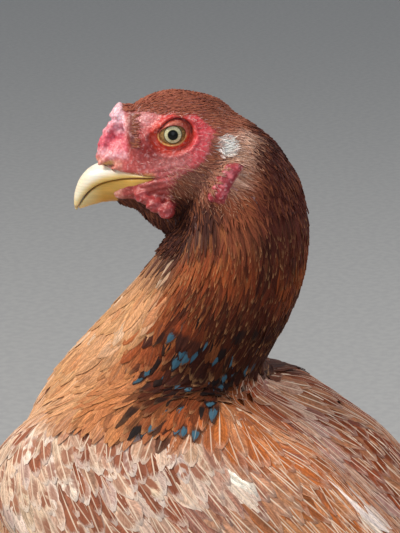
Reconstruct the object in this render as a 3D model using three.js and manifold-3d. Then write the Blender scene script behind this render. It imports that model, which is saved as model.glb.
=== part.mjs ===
// A standing game hen, life size, in millimetres, +Z up. She faces -Y, with her left side at +X, and looks
// 30 degrees over her left shoulder. The solids give her outline out to the tips of the feathers.
// Run with the npm packages three and manifold-3d; the default export is the scene graph.
import * as THREE from 'three';
import { mergeVertices } from 'three/addons/utils/BufferGeometryUtils.js';
import Module from 'manifold-3d';

const wasm = await Module();
wasm.setup();

// ---- Driving dimensions -------------------------------------------------------------------------------

const GAP = 0.3; // free space left between neighbouring pieces
const END_BULGE = 0.25; // how far a body's end stands out, as a share of its end section's half size
const BACK_SLOPE = THREE.MathUtils.degToRad(37); // the back falls this much towards the tail
const TRUNK_MIDDLE = new THREE.Vector3(0, 22, 250); // a point on the trunk's axis, over the feet
const HEAD_TURN = THREE.MathUtils.degToRad(30); // the head's turn to her left
const SKULL_MIDDLE = new THREE.Vector3(3, -1, 437);

const EYE = { forward: 8.6, out: 9.9, up: 2.8, radius: 7.6 };
const EAR_SHIFT = 2.4; // the neck lies this far to the left of the turned head's middle at the ears
const EYE_OPENING = { out: 24.5, radius: 9 }; // between the lids, cut by a ball on the same line

const WING_LEAN = THREE.MathUtils.degToRad(33); // the folded wings lean in over the back
const FLIGHTS_START = 62; // along the back: behind this a wing is its folded flight feathers
// The plane cuts that part the head from the neck, and the neck from the trunk.
const NAPE_CUT = { back: 11, up: 399, tilt: THREE.MathUtils.degToRad(30) };
const SHOULDER_CUT = { back: -18, up: 322, tilt: THREE.MathUtils.degToRad(-35) };

const FOOT = { out: 42, back: 44, stride: 5 }; // stride: each foot is this far ahead or behind
const HOCK = { out: 46, back: 60, up: 116 };
const TOE_HEIGHT = 4.2; // the height of a toe's middle line, less than its radius, for a flat sole
const TOES = [
  { name: 'inner', turn: -34, length: 44, radius: 4.9, claw: 12 },
  { name: 'middle', turn: 3, length: 62, radius: 5.2, claw: 14 },
  { name: 'outer', turn: 37, length: 47, radius: 4.9, claw: 12 },
  { name: 'hind', turn: -160, length: 25, radius: 4.5, claw: 11 },
];

const COLOURS = {
  plumage: 0xa5623a,
  hackle: 0x84401f,
  tail: 0x4a2d20,
  face: 0xb4473f,
  flesh: 0xc8424a,
  horn: 0xe2c486,
  leg: 0xd2a94a,
  eye: 0xd8cf9a,
};

// ---- Making solids ------------------------------------------------------------------------------------

/** Uniform Catmull-Rom interpolation of equal rows of numbers, at share t of the way through them. */
function between(rows, t) {
  const place = THREE.MathUtils.clamp(t, 0, 1) * (rows.length - 1);
  const i = Math.min(Math.floor(place), rows.length - 2);
  const f = place - i;
  const at = (k) => rows[THREE.MathUtils.clamp(k, 0, rows.length - 1)];
  return rows[i].map((_, c) => {
    const [a, b, d, e] = [at(i - 1)[c], at(i)[c], at(i + 1)[c], at(i + 2)[c]];
    const [slopeIn, slopeOut] = [(d - a) / 2, (e - b) / 2];
    const [f2, f3] = [f * f, f * f * f];
    return (2 * f3 - 3 * f2 + 1) * b + (f3 - 2 * f2 + f) * slopeIn
      + (3 * f2 - 2 * f3) * d + (f3 - f2) * slopeOut;
  });
}

/** A closed three.js geometry as a solid, turned right side out where its faces point inwards. */
function solidOf(geometry) {
  const bare = geometry.clone();
  bare.deleteAttribute('normal');
  bare.deleteAttribute('uv');
  const merged = mergeVertices(bare, 1e-4);
  const vertProperties = merged.attributes.position.array;
  const triVerts = new Uint32Array(merged.index.array);
  const made = new wasm.Manifold(new wasm.Mesh({ numProp: 3, vertProperties, triVerts }));
  if (made.volume() > 0) return made;
  for (let i = 0; i < triVerts.length; i += 3) triVerts.subarray(i, i + 3).reverse();
  return new wasm.Manifold(new wasm.Mesh({ numProp: 3, vertProperties, triVerts }));
}

/**
 * A closed body swept along a line of stations, each [point, half width, half height].
 * across is the direction of the half width; facing, if given, keeps every section square to it.
 */
function sweep({ stations, across, facing, rings, sides, grow = 0 }) {
  const rows = stations.map(([p, wide, tall]) => [p.x, p.y, p.z, wide, tall]);
  const point = (t) => new THREE.Vector3(...between(rows, t));
  const corners = [];
  const triangles = [];
  for (let i = 0; i < rings; i++) {
    const even = i / (rings - 1);
    const t = 0.75 * even + 0.25 * (1 - Math.cos(Math.PI * even)) / 2; // closer together at both ends
    const [, , , wide, tall] = between(rows, t);
    const middle = point(t);
    const course = point(Math.min(t + 0.01, 1)).sub(point(Math.max(t - 0.01, 0)));
    const along = (facing ?? course).clone().normalize();
    const up = new THREE.Vector3().crossVectors(along, across).normalize();
    const side = new THREE.Vector3().crossVectors(up, along).normalize();
    for (let k = 0; k < sides; k++) {
      const turn = (2 * Math.PI * k) / sides;
      corners.push(middle.clone()
        .addScaledVector(side, (wide + grow) * Math.cos(turn))
        .addScaledVector(up, (tall + grow) * Math.sin(turn)));
    }
    const pole = i === 0 ? -1 : i === rings - 1 ? 1 : 0;
    const bulge = grow + END_BULGE * Math.min(wide, tall);
    if (pole) corners.push(middle.clone().addScaledVector(along, pole * bulge));
    const first = i * sides + (i > 0 ? 1 : 0); // the first ring is followed by its pole
    for (let k = 0; k < sides; k++) {
      const next = (k + 1) % sides;
      if (pole) {
        const tip = corners.length - 1;
        triangles.push(...(pole < 0 ? [first + k, tip, first + next] : [first + next, tip, first + k]));
      }
      if (i > 0) {
        const before = (i - 1) * sides + (i > 1 ? 1 : 0);
        triangles.push(before + k, before + next, first + k, first + k, before + next, first + next);
      }
    }
  }
  const geometry = new THREE.BufferGeometry().setFromPoints(corners);
  geometry.setIndex(triangles);
  return solidOf(geometry);
}

/** A ball, or an ellipsoid where stretch gives its three half axes. */
function ball(middle, radius, grow = 0, detail = 12) {
  const geometry = new THREE.SphereGeometry(radius + grow, detail, Math.ceil(detail * 0.7));
  geometry.translate(middle.x, middle.y, middle.z);
  return solidOf(geometry);
}

/** Everything on the far side of a plane across her body, as a big block; tilt turns the plane about X. */
function beyond({ back, up, tilt }, gap) {
  const size = 900;
  const block = new THREE.BoxGeometry(size, size, size).translate(0, 0, size / 2 + gap);
  block.rotateX(tilt);
  block.translate(0, back, up);
  return solidOf(block);
}

/** Everything behind a place along the back, as a big block. */
function behind(along, gap) {
  const size = 900;
  const block = new THREE.BoxGeometry(size, size, size).translate(0, size / 2 + gap, 0);
  block.rotateX(-BACK_SLOPE);
  const start = onTrunk(along, 0);
  block.translate(start.x, start.y, start.z);
  return solidOf(block);
}

/** Several solids joined into one. */
const joined = (solids) => solids.reduce((all, one) => all.add(one));

/** A solid with its neighbours cut away, without the crumbs that the cut leaves. */
function cutBy(solid, ...neighbours) {
  const pieces = neighbours.reduce((left, other) => left.subtract(other), solid).decompose();
  return pieces.sort((a, b) => b.volume() - a.volume())[0];
}

// ---- Frames of the trunk and the head -----------------------------------------------------------------

const LEFT = new THREE.Vector3(1, 0, 0);
const TAILWARD = new THREE.Vector3(0, Math.cos(BACK_SLOPE), -Math.sin(BACK_SLOPE));
const BACKWARD_UP = new THREE.Vector3(0, Math.sin(BACK_SLOPE), Math.cos(BACK_SLOPE));
const AHEAD = new THREE.Vector3(Math.sin(HEAD_TURN), -Math.cos(HEAD_TURN), 0);
const HEAD_LEFT = new THREE.Vector3(Math.cos(HEAD_TURN), Math.sin(HEAD_TURN), 0);

/** A point from its distances along the back, above the trunk's axis and out to her left. */
const onTrunk = (along, lift, out = 0) => TRUNK_MIDDLE.clone()
  .addScaledVector(TAILWARD, along).addScaledVector(BACKWARD_UP, lift).addScaledVector(LEFT, out);

/** A point from its distances ahead of the skull's middle, above it and out to the head's left. */
const onHead = (forward, up, out = 0) => SKULL_MIDDLE.clone()
  .addScaledVector(AHEAD, forward).addScaledVector(HEAD_LEFT, out).add(new THREE.Vector3(0, 0, up));

// ---- Trunk, neck and tail -----------------------------------------------------------------------------

function trunk(grow = 0) {
  const sections = [ // along the back, lift, half width, half height
    [-112, -32, 8, 7], [-107, -31, 27, 26], [-95, -26, 46, 48], [-74, -18, 60, 67],
    [-44, -13, 69, 77], [-10, -10, 72, 82], [30, -6, 71, 78], [70, 3, 63, 67],
    [104, 16, 51, 52], [132, 30, 38, 36], [150, 39, 26, 22], [160, 44, 9, 7],
  ];
  return sweep({
    stations: sections.map(([along, lift, wide, tall]) => [onTrunk(along, lift), wide, tall]),
    across: LEFT, facing: TAILWARD, rings: 14, sides: 20, grow,
  });
}

function neck(grow = 0) {
  return sweep({
    stations: [
      [new THREE.Vector3(0, -46, 248), 50, 34],
      [new THREE.Vector3(0, -48, 281), 55, 41],
      [new THREE.Vector3(0, -28, 314), 47, 39],
      [new THREE.Vector3(0, -6, 345), 36, 34.5],
      [new THREE.Vector3(0, 12, 371), 33, 33],
      [new THREE.Vector3(-2, 20.5, 393), 29, 31],
      [new THREE.Vector3(-4, 17, 412), 24.5, 28.5],
      [new THREE.Vector3(-3, 6, 428), 19, 22],
      [new THREE.Vector3(0, -5, 436), 11, 13],
    ],
    across: LEFT, rings: 15, sides: 20, grow,
  });
}

function tail(grow = 0) {
  return sweep({
    stations: [
      [onTrunk(116, 42), 30, 25],
      [onTrunk(150, 53), 27, 27],
      [onTrunk(182, 67), 21, 30],
      [onTrunk(214, 82), 15.5, 33],
      [onTrunk(240, 96), 11, 34],
      [onTrunk(258, 106), 7.5, 28],
      [onTrunk(266, 112), 3, 14],
    ],
    across: LEFT, rings: 9, sides: 12, grow,
  });
}

function wholeWing(side, grow = 0) {
  const sections = [ // along the back, lift, out, half thickness, half height
    [-104, -10, 48, 6, 9], [-97, -7, 51, 17, 25], [-80, 4, 52, 24, 41], [-44, 20, 51, 27, 54],
    [4, 31, 47, 27, 57], [52, 35, 41, 24, 49], [94, 40, 33, 19, 38], [130, 47, 26, 13, 27],
    [158, 53, 21, 8, 17], [178, 58, 18, 4, 8],
  ];
  const outward = LEFT.clone().multiplyScalar(side * Math.cos(WING_LEAN))
    .addScaledVector(BACKWARD_UP, Math.sin(WING_LEAN));
  return sweep({
    stations: sections.map(([along, lift, out, ...half]) => [onTrunk(along, lift, side * out), ...half]),
    across: outward, facing: TAILWARD, rings: 12, sides: 14, grow,
  });
}

// ---- Head ---------------------------------------------------------------------------------------------

function skull(grow = 0) {
  const sections = [ // forward, up, half width, half height
    [-27, -8, 7, 7], [-24, -9, 14, 14], [-15, -10.5, 19, 21.5], [-4, -9.1, 20.2, 26],
    [7, -9.2, 20.2, 28.3], [15, -10, 18.2, 27], [21, -11.1, 15.4, 23.9], [26, -12.6, 12.8, 19.4],
    [31, -10.4, 10.2, 11], [36, -12, 7.6, 6], [40, -13, 3.6, 2.8],
  ];
  return sweep({
    stations: sections.map(([forward, up, wide, tall]) => [onHead(forward, up), wide, tall]),
    across: HEAD_LEFT, facing: AHEAD, rings: 12, sides: 18, grow,
  });
}

function upperBeak(grow = 0) {
  return sweep({
    stations: [
      [onHead(22, -17.6), 10.2, 4],
      [onHead(31, -17.2), 9.2, 5.4],
      [onHead(39, -18.4), 7.6, 6.2],
      [onHead(45, -21.8), 5.6, 5.6],
      [onHead(48.9, -27), 3.4, 3.8],
      [onHead(50.8, -32.6), 0.9, 1],
    ],
    across: HEAD_LEFT, rings: 8, sides: 12, grow,
  });
}

function lowerBeak(grow = 0) {
  return sweep({
    stations: [
      [onHead(20, -23), 9.4, 4.2],
      [onHead(30, -24.6), 8.4, 4.8],
      [onHead(38, -26.2), 6.4, 4.8],
      [onHead(44, -28.6), 4, 3.4],
      [onHead(47.8, -31), 1.3, 1.2],
    ],
    across: HEAD_LEFT, rings: 7, sides: 10, grow,
  });
}

const eyeMiddle = (side) => onHead(EYE.forward, EYE.up, side * EYE.out);
const eye = (side, grow = 0) => ball(eyeMiddle(side), EYE.radius, grow, 11);

/** The space between the lids, wider outwards. */
function eyeOpening(side) {
  const middle = onHead(EYE.forward, EYE.up, side * EYE_OPENING.out);
  return ball(middle, EYE_OPENING.radius, 0, 12);
}

/** A pea comb: a middle row of lumps, its filling in front of the brow, and a lower row on either side. */
function comb(grow = 0) {
  const middleRow = [ // forward, up, radius
    [40.4, -10.6, 3.2], [38.4, -6.4, 3.5], [36.3, -1.4, 3.5], [34, 4, 3.6], [31.6, 9.4, 3.7],
  ];
  const filling = [[34.4, -8, 4.4], [31, -0.6, 4.8]];
  const sideRow = [[37.6, -8.4, 3], [35.2, -3.6, 3.1], [32.6, 1.2, 3], [30, 5, 2.6]];
  const sideRowOut = 3.8;
  const lump = ([forward, up, radius], out) => ball(onHead(forward, up, out), radius, grow, 6);
  return joined([
    ...[...middleRow, ...filling].map((row) => lump(row, 0)),
    ...sideRow.flatMap((row) => [lump(row, sideRowOut), lump(row, -sideRowOut)]),
  ]);
}

function wattle(side, grow = 0) {
  const lobes = [[21.5, -24.6, 13.8, 3.2], [16.5, -27.4, 16.4, 4], [11, -29.8, 18, 4.4]];
  const lobe = ([forward, up, out, radius]) => ball(onHead(forward, up, side * out), radius, grow, 7);
  return joined(lobes.map(lobe));
}

function earlobe(side, grow = 0) {
  return sweep({
    stations: [
      [onHead(-17.5, -9, side * 19.5 + EAR_SHIFT), 3, 2.4],
      [onHead(-15.6, -14.5, side * 21.5 + EAR_SHIFT), 4, 4],
      [onHead(-12.4, -21, side * 22 + EAR_SHIFT), 4, 3.8],
      [onHead(-9, -26.5, side * 21 + EAR_SHIFT), 3, 2.2],
    ],
    across: HEAD_LEFT, rings: 6, sides: 10, grow,
  });
}

// ---- Legs ---------------------------------------------------------------------------------------------

const footOf = (side) => new THREE.Vector3(side * FOOT.out, FOOT.back - side * FOOT.stride, 0);
const hockOf = (side) => new THREE.Vector3(side * HOCK.out, HOCK.back - side * FOOT.stride, HOCK.up);

function thigh(side, grow = 0) {
  const hock = hockOf(side);
  return sweep({
    stations: [
      [new THREE.Vector3(side * 40, 14, 232), 22, 30],
      [new THREE.Vector3(side * 45, 18, 208), 29, 40],
      [new THREE.Vector3(side * 47, 30, 178), 26, 36],
      [new THREE.Vector3(side * 47, 44, 150), 18, 25],
      [hock.clone().add(new THREE.Vector3(0, -3, 12)), 11, 13.5],
      [hock.clone().add(new THREE.Vector3(0, -0.5, 2)), 8, 9],
    ],
    across: LEFT, rings: 8, sides: 12, grow,
  });
}

function shank(side, grow = 0) {
  const [foot, hock] = [footOf(side), hockOf(side)];
  const at = (share, back, up) => foot.clone().lerp(hock, share).add(new THREE.Vector3(0, back, up));
  return sweep({
    stations: [
      [at(1, 0, 6), 6.8, 7],
      [at(0.96, 0, 0), 8.2, 9],
      [at(0.84, -0.6, 0), 7.2, 7.6],
      [at(0.5, -1, 0), 6.4, 6.8],
      [at(0.24, -1, 0), 6.6, 7],
      [at(0.13, -1, 0), 7.8, 8.2],
      [at(0.07, -2.5, -0.6), 7.2, 8.4],
    ],
    across: LEFT, rings: 8, sides: 10, grow,
  });
}

/** The direction in which a toe points; turn is measured from straight ahead, outwards. */
function toeAim(side, toe) {
  const turn = THREE.MathUtils.degToRad(toe.turn);
  return new THREE.Vector3(side * Math.sin(turn), -Math.cos(turn), 0);
}

function toeSweep(side, toe, grow = 0) {
  const aim = toeAim(side, toe);
  const root = footOf(side);
  const lift = toe.name === 'hind' ? 12 : 9; // where the toe leaves the foot
  const at = (share, up) => root.clone().addScaledVector(aim, share * toe.length).setZ(up);
  const r = toe.radius;
  return sweep({
    stations: [
      [at(0.1, lift), r * 1.05, r], [at(0.3, (lift + TOE_HEIGHT) / 2), r * 1.04, r],
      [at(0.55, TOE_HEIGHT), r, r], [at(0.8, TOE_HEIGHT), r * 0.94, r * 0.96],
      [at(0.95, TOE_HEIGHT + 0.2), r * 0.8, r * 0.86], [at(1, TOE_HEIGHT + 0.4), r * 0.58, r * 0.62],
    ],
    across: new THREE.Vector3(-aim.y, aim.x, 0), rings: 6, sides: 8, grow,
  });
}

function clawSweep(side, toe, grow = 0) {
  const aim = toeAim(side, toe);
  const root = footOf(side);
  const at = (beyond, up) => root.clone().addScaledVector(aim, toe.length + beyond).setZ(up);
  const long = toe.claw;
  return sweep({
    stations: [
      [at(-3, TOE_HEIGHT + 0.7), 2, 2.3], [at(long * 0.25, TOE_HEIGHT + 1.2), 1.9, 2.2],
      [at(long * 0.65, TOE_HEIGHT + 0.2), 1.3, 1.5], [at(long, 1.7), 0.45, 0.5],
    ],
    across: new THREE.Vector3(-aim.y, aim.x, 0), rings: 4, sides: 6, grow,
  });
}

/** Everything above the floor, for cutting the soles flat. */
function aboveFloor(solid) {
  const under = new THREE.BoxGeometry(1000, 1000, 100).translate(0, 0, -50);
  return cutBy(solid, solidOf(under));
}

// ---- Putting her together -----------------------------------------------------------------------------

const hen = new THREE.Group();

/** Adds one named piece in its colour. */
function add(name, solid, colour, roughness = 0.75) {
  const { numProp, numVert, vertProperties, triVerts } = solid.getMesh();
  const corners = [];
  for (let i = 0; i < numVert; i++) corners.push(...vertProperties.slice(i * numProp, i * numProp + 3));
  const geometry = new THREE.BufferGeometry();
  geometry.setAttribute('position', new THREE.Float32BufferAttribute(corners, 3));
  geometry.setIndex([...triVerts]);
  geometry.computeVertexNormals();
  const material = new THREE.MeshStandardMaterial({ color: colour, roughness, metalness: 0 });
  const mesh = new THREE.Mesh(geometry, material);
  mesh.name = name;
  hen.add(mesh);
}

const SIDES = [['left', 1], ['right', -1]];

/** Head, neck and trunk, parted by two thin plane cuts. */
function bodyParts() {
  const upper = skull().add(neck());
  const [overNape, overShoulder] = [NAPE_CUT, SHOULDER_CUT].map((cut) => beyond(cut, GAP / 2));
  const [fromNape, fromShoulder] = [NAPE_CUT, SHOULDER_CUT].map((cut) => beyond(cut, -GAP / 2));
  return {
    head: upper.intersect(overNape),
    neck: cutBy(upper.intersect(overShoulder), fromNape, trunk(GAP)),
    trunk: trunk().add(cutBy(upper, fromShoulder)),
  };
}

const body = bodyParts();
const bodyGrown = joined([skull(GAP), neck(GAP), trunk(GAP)]);
add('head', cutBy(
  body.head, upperBeak(GAP), lowerBeak(GAP),
  eye(1, GAP), eye(-1, GAP), eyeOpening(1), eyeOpening(-1),
), COLOURS.face);
add('neck', body.neck, COLOURS.hackle);
add('trunk', body.trunk, COLOURS.plumage);
add('tail', cutBy(tail(), bodyGrown, wholeWing(1, GAP), wholeWing(-1, GAP)), COLOURS.tail);
add('beak_upper', upperBeak(), COLOURS.horn, 0.35);
add('beak_lower', cutBy(lowerBeak(), upperBeak(GAP)), COLOURS.horn, 0.35);
add('comb', cutBy(comb(), bodyGrown, upperBeak(GAP)), COLOURS.flesh, 0.55);

for (const [word, side] of SIDES) {
  const wing = cutBy(wholeWing(side), bodyGrown);
  const [tipStart, restEnd] = [GAP / 2, -GAP / 2].map((gap) => behind(FLIGHTS_START, gap));
  add(`eye_${word}`, eye(side), COLOURS.eye, 0.08);
  add(`wattle_${word}`, cutBy(wattle(side), bodyGrown, lowerBeak(GAP)), COLOURS.flesh, 0.55);
  add(`earlobe_${word}`, cutBy(earlobe(side), bodyGrown), COLOURS.flesh, 0.55);
  add(`wing_${word}`, cutBy(wing, restEnd), COLOURS.plumage);
  add(`flights_${word}`, wing.intersect(tipStart), COLOURS.tail);
  add(`thigh_${word}`, cutBy(thigh(side), bodyGrown, wholeWing(side, GAP)), COLOURS.plumage);
  add(`shank_${word}`, aboveFloor(cutBy(shank(side), thigh(side, GAP))), COLOURS.leg, 0.5);
  TOES.forEach((toe, i) => {
    const earlier = TOES.slice(0, i).map((other) => toeSweep(side, other, GAP));
    const whole = cutBy(toeSweep(side, toe), shank(side, GAP), ...earlier);
    add(`toe_${toe.name}_${word}`, aboveFloor(whole), COLOURS.leg, 0.5);
    const claw = cutBy(clawSweep(side, toe), toeSweep(side, toe, GAP));
    add(`claw_${toe.name}_${word}`, aboveFloor(claw), COLOURS.horn, 0.4);
  });
}

// The origin is on the floor, under the middle of the whole bird.
const bounds = new THREE.Box3().setFromObject(hen);
const middle = bounds.getCenter(new THREE.Vector3());
hen.position.set(-middle.x, -middle.y, -bounds.min.z);

export default hen;
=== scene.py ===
"""A standing game hen, life size: one skin, mesh feathers that hug it, horn, eyes and a plain studio.

All lengths are in metres. Named sizes in millimetres are turned to metres by MM.
"""

import logging
import math
from dataclasses import dataclass
from enum import Enum
from functools import reduce
from typing import Callable, Sequence

import bmesh
import bpy
import numpy as np
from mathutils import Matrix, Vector
from mathutils.bvhtree import BVHTree


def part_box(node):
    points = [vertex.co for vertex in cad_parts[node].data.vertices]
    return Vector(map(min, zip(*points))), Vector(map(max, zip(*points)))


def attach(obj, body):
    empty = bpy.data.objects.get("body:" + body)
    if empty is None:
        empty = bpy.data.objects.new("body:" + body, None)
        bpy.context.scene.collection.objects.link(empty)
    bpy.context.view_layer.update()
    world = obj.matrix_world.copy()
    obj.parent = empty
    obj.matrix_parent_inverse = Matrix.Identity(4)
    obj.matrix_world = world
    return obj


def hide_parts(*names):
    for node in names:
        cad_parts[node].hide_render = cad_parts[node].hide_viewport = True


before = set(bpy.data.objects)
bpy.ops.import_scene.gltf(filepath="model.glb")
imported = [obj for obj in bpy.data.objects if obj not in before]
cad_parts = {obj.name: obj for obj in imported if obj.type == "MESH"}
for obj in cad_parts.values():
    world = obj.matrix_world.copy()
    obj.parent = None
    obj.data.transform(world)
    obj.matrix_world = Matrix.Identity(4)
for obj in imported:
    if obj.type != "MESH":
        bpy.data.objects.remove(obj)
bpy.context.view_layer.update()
LOG = logging.getLogger("hen")

MM = 0.001
SEED = 7
SHARP_TURN = math.radians(70)
Array = np.ndarray
Measure = Callable[[Array], Array]
Piece, Mesh, Material = bpy.types.Object, bpy.types.Mesh, bpy.types.Material
Tree, Socket = bpy.types.NodeTree, bpy.types.NodeSocket


# ---- Small helpers ----


def linear(colour: str) -> tuple[float, float, float, float]:
    """An sRGB hex colour as linear RGBA.

    Args:
        colour: six hex digits with a leading #.

    Returns:
        Red, green, blue and an alpha of one.
    """
    parts = [int(colour[i : i + 2], 16) / 255 for i in (1, 3, 5)]
    red, green, blue = [c / 12.92 if c <= 0.04045 else ((c + 0.055) / 1.055) ** 2.4 for c in parts]
    return red, green, blue, 1.0


def rgb(colour: str) -> Array:
    """An sRGB hex colour as a linear RGB array."""
    return np.array(linear(colour)[:3])


def unit(v: Array) -> Array:
    """Vectors made one long."""
    return v / np.maximum(np.linalg.norm(v, axis=-1, keepdims=True), 1e-12)


def smooth(x: Array, low: float, high: float) -> Array:
    """A smooth step from 0 at low to 1 at high; it falls where high is under low."""
    t = np.clip((np.asarray(x, float) - low) / (high - low), 0, 1)
    return t * t * (3 - 2 * t)


def bell(x: Array, middle: float, width: float) -> Array:
    """A smooth bump of height one round a middle."""
    return np.exp(-(((x - middle) / width) ** 2))


def blend(a: Array, b: Array, share: Array) -> Array:
    """Rows of a mixed with rows of b by a share for each row."""
    share = np.asarray(share, float)[..., None]
    return a * (1 - share) + b * share


def painted(ground: Array, *coats: tuple[str, Array]) -> Array:
    """Rows of colour with hex colours painted over them in turn, each by its own share of every row."""
    return reduce(lambda rows, coat: blend(rows, rgb(coat[0]), coat[1]), coats, ground)


def spline(rows: Sequence[Sequence[float]], count: int) -> Array:
    """Uniform Catmull-Rom interpolation of rows of numbers.

    Args:
        rows: the rows to pass through.
        count: how many rows to return.

    Returns:
        An array of count rows, evenly spread in the curve's parameter.
    """
    table = np.array(rows, float)
    place = np.linspace(0, len(table) - 1, count)
    i = np.minimum(place.astype(int), len(table) - 2)
    f = (place - i)[:, None]
    a, b, c, d = (table[np.clip(i + k, 0, len(table) - 1)] for k in (-1, 0, 1, 2))
    tangent_in, tangent_out = (c - a) / 2, (d - b) / 2
    return (
        (2 * f**3 - 3 * f**2 + 1) * b
        + (f**3 - 2 * f**2 + f) * tangent_in
        + (3 * f**2 - 2 * f**3) * c
        + (f**3 - f**2) * tangent_out
    )


def value_noise(p: Array, size: float, seed: int) -> Array:
    """Smooth noise from -1 to 1 at points.

    Args:
        p: points, one a row.
        size: the noise's grain.
        seed: picks the pattern.

    Returns:
        One number for each point.
    """
    q = p / size + seed * 17.17
    cell = np.floor(q).astype(np.int64)
    f = q - cell
    f = f * f * (3 - 2 * f)
    total = np.zeros(len(p))
    for corner in range(8):
        step = np.array([corner & 1, corner >> 1 & 1, corner >> 2 & 1])
        c = cell + step
        h = (c[:, 0] * 73856093) ^ (c[:, 1] * 19349663) ^ (c[:, 2] * 83492791) ^ (seed * 2654435)
        h = (h ^ (h >> 13)) * 1274126177
        weight = np.prod(np.where(step == 1, f, 1 - f), axis=1)
        total += weight * ((h & 0xFFFF) / 32767.5 - 1)
    return total


def new_object(name: str, points: Array, faces: Sequence[Sequence[int]]) -> Piece:
    """A mesh object at the origin, smooth shaded and linked to the scene.

    Args:
        name: its name.
        points: its vertices, one a row.
        faces: each face's vertices, by number.

    Returns:
        The object.
    """
    mesh = bpy.data.meshes.new(name)
    mesh.from_pydata(np.asarray(points, float).tolist(), [], [tuple(f) for f in faces])
    return placed(name, mesh)


def placed(name: str, mesh: Mesh) -> Piece:
    """A smooth shaded object that shows a mesh.

    Args:
        name: the object's name.
        mesh: its mesh.

    Returns:
        The object.
    """
    mesh.polygons.foreach_set("use_smooth", [True] * len(mesh.polygons))
    mesh.update()
    mesh.name = name
    made = bpy.data.objects.new(name, mesh)
    bpy.context.scene.collection.objects.link(made)
    return made


def read_rows(mesh: Mesh, what: str) -> Array:
    """A mesh's vertex places or normals, one a row.

    Args:
        mesh: the mesh.
        what: co for places, normal for normals.

    Returns:
        An array of the rows.
    """
    flat = np.empty(len(mesh.vertices) * 3)
    if what == "co":
        mesh.vertices.foreach_get("co", flat)
    else:
        mesh.vertex_normals.foreach_get("vector", flat)
    return flat.reshape(-1, 3)


def set_places(mesh: Mesh, points: Array) -> None:
    """Moves a mesh's vertices."""
    mesh.vertices.foreach_set("co", points.ravel())
    mesh.update()


def set_attribute(mesh: Mesh, name: str, values: Array) -> None:
    """Stores numbers, whole numbers, vectors or colours on a mesh's points.

    Args:
        mesh: the mesh.
        name: cut for whole numbers, a name that starts with tint for colours.
        values: a number or a row for each point.
    """
    if name == "cut":
        mesh.attributes.new(name, "INT", "POINT").data.foreach_set("value", values.astype(np.int32))
        return
    values = np.asarray(values, float)
    if values.ndim == 1:
        mesh.attributes.new(name, "FLOAT", "POINT").data.foreach_set("value", values)
    elif name.startswith("tint"):
        rgba = np.concatenate([values, np.ones((len(values), 1))], axis=1)
        mesh.attributes.new(name, "FLOAT_COLOR", "POINT").data.foreach_set("color", rgba.ravel())
    else:
        mesh.attributes.new(name, "FLOAT_VECTOR", "POINT").data.foreach_set("vector", values.ravel())


def set_attributes(mesh: Mesh, **named: Array) -> None:
    """Stores several attributes on a mesh's points."""
    for name, values in named.items():
        set_attribute(mesh, name, values)


def relax(mesh: Mesh, rounds: int, amount: float | Array = 0.5) -> None:
    """Smooths a mesh by moving each vertex towards the mean of its neighbours.

    Args:
        mesh: the mesh.
        rounds: how many times.
        amount: the share of the way that they move, for all or for each.
    """
    edges = np.empty(len(mesh.edges) * 2, dtype=np.int32)
    mesh.edges.foreach_get("vertices", edges)
    a, b = edges.reshape(-1, 2).T
    points = read_rows(mesh, "co")
    degree = np.maximum(np.bincount(np.r_[a, b], minlength=len(points)), 1)[:, None]
    for _ in range(rounds):
        total = np.zeros_like(points)
        for axis in range(3):
            there = np.bincount(a, points[b, axis], len(points))
            total[:, axis] = there + np.bincount(b, points[a, axis], len(points))
        points += amount * (total / degree - points)
    set_places(mesh, points)


def merged_copy(names: Sequence[str], lowest: float | None = None) -> Piece:
    """Copies of some CAD nodes' meshes, merged and joined into one object.

    Args:
        names: the nodes.
        lowest: where given, all below this height is cut away and closed.

    Returns:
        The object.
    """
    work = bmesh.new()
    for name in names:
        work.from_mesh(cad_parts[name].data)
    bmesh.ops.remove_doubles(work, verts=work.verts, dist=0.00001)
    if lowest is not None:
        everything = [*work.verts, *work.edges, *work.faces]
        cut = bmesh.ops.bisect_plane(
            work, geom=everything, plane_co=(0, 0, lowest), plane_no=(0, 0, 1), clear_inner=True
        )
        rim = [e for e in cut["geom_cut"] if isinstance(e, bmesh.types.BMEdge)]
        middle = work.verts.new(sum((e.verts[0].co for e in rim), Vector()) / len(rim))
        for edge in rim:
            work.faces.new((edge.verts[0], edge.verts[1], middle))
        bmesh.ops.recalc_face_normals(work, faces=work.faces)
    mesh = bpy.data.meshes.new("work")
    work.to_mesh(mesh)
    work.free()
    return placed("work", mesh)


def evaluated_mesh(piece: Piece) -> Mesh:
    """The mesh that a piece has with its modifiers, as a plain mesh."""
    graph = bpy.context.evaluated_depsgraph_get()
    return bpy.data.meshes.new_from_object(piece.evaluated_get(graph), depsgraph=graph)


def remeshed(source: Piece, voxel: float, rounds: int, name: str) -> Piece:
    """One even, closed surface round the union of a source's solids; the source is removed.

    Args:
        source: an object of closed solids.
        voxel: the new surface's cell.
        rounds: smoothing rounds.
        name: the new object's name.

    Returns:
        The new object.
    """
    modifier = source.modifiers.new("union", "REMESH")
    modifier.mode = "VOXEL"
    modifier.voxel_size = voxel
    mesh = evaluated_mesh(source)
    bpy.data.objects.remove(source)
    relax(mesh, rounds)
    return placed(name, mesh)


def joined(name: str, parts: Sequence[Piece]) -> Piece:
    """Several objects joined into the first one.

    Args:
        name: the joined piece's name.
        parts: the objects.

    Returns:
        The joined piece.
    """
    chosen = list(parts)
    with bpy.context.temp_override(
        active_object=chosen[0], selected_editable_objects=chosen, selected_objects=chosen
    ):
        bpy.ops.object.join()
    chosen[0].name = name
    return chosen[0]


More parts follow.
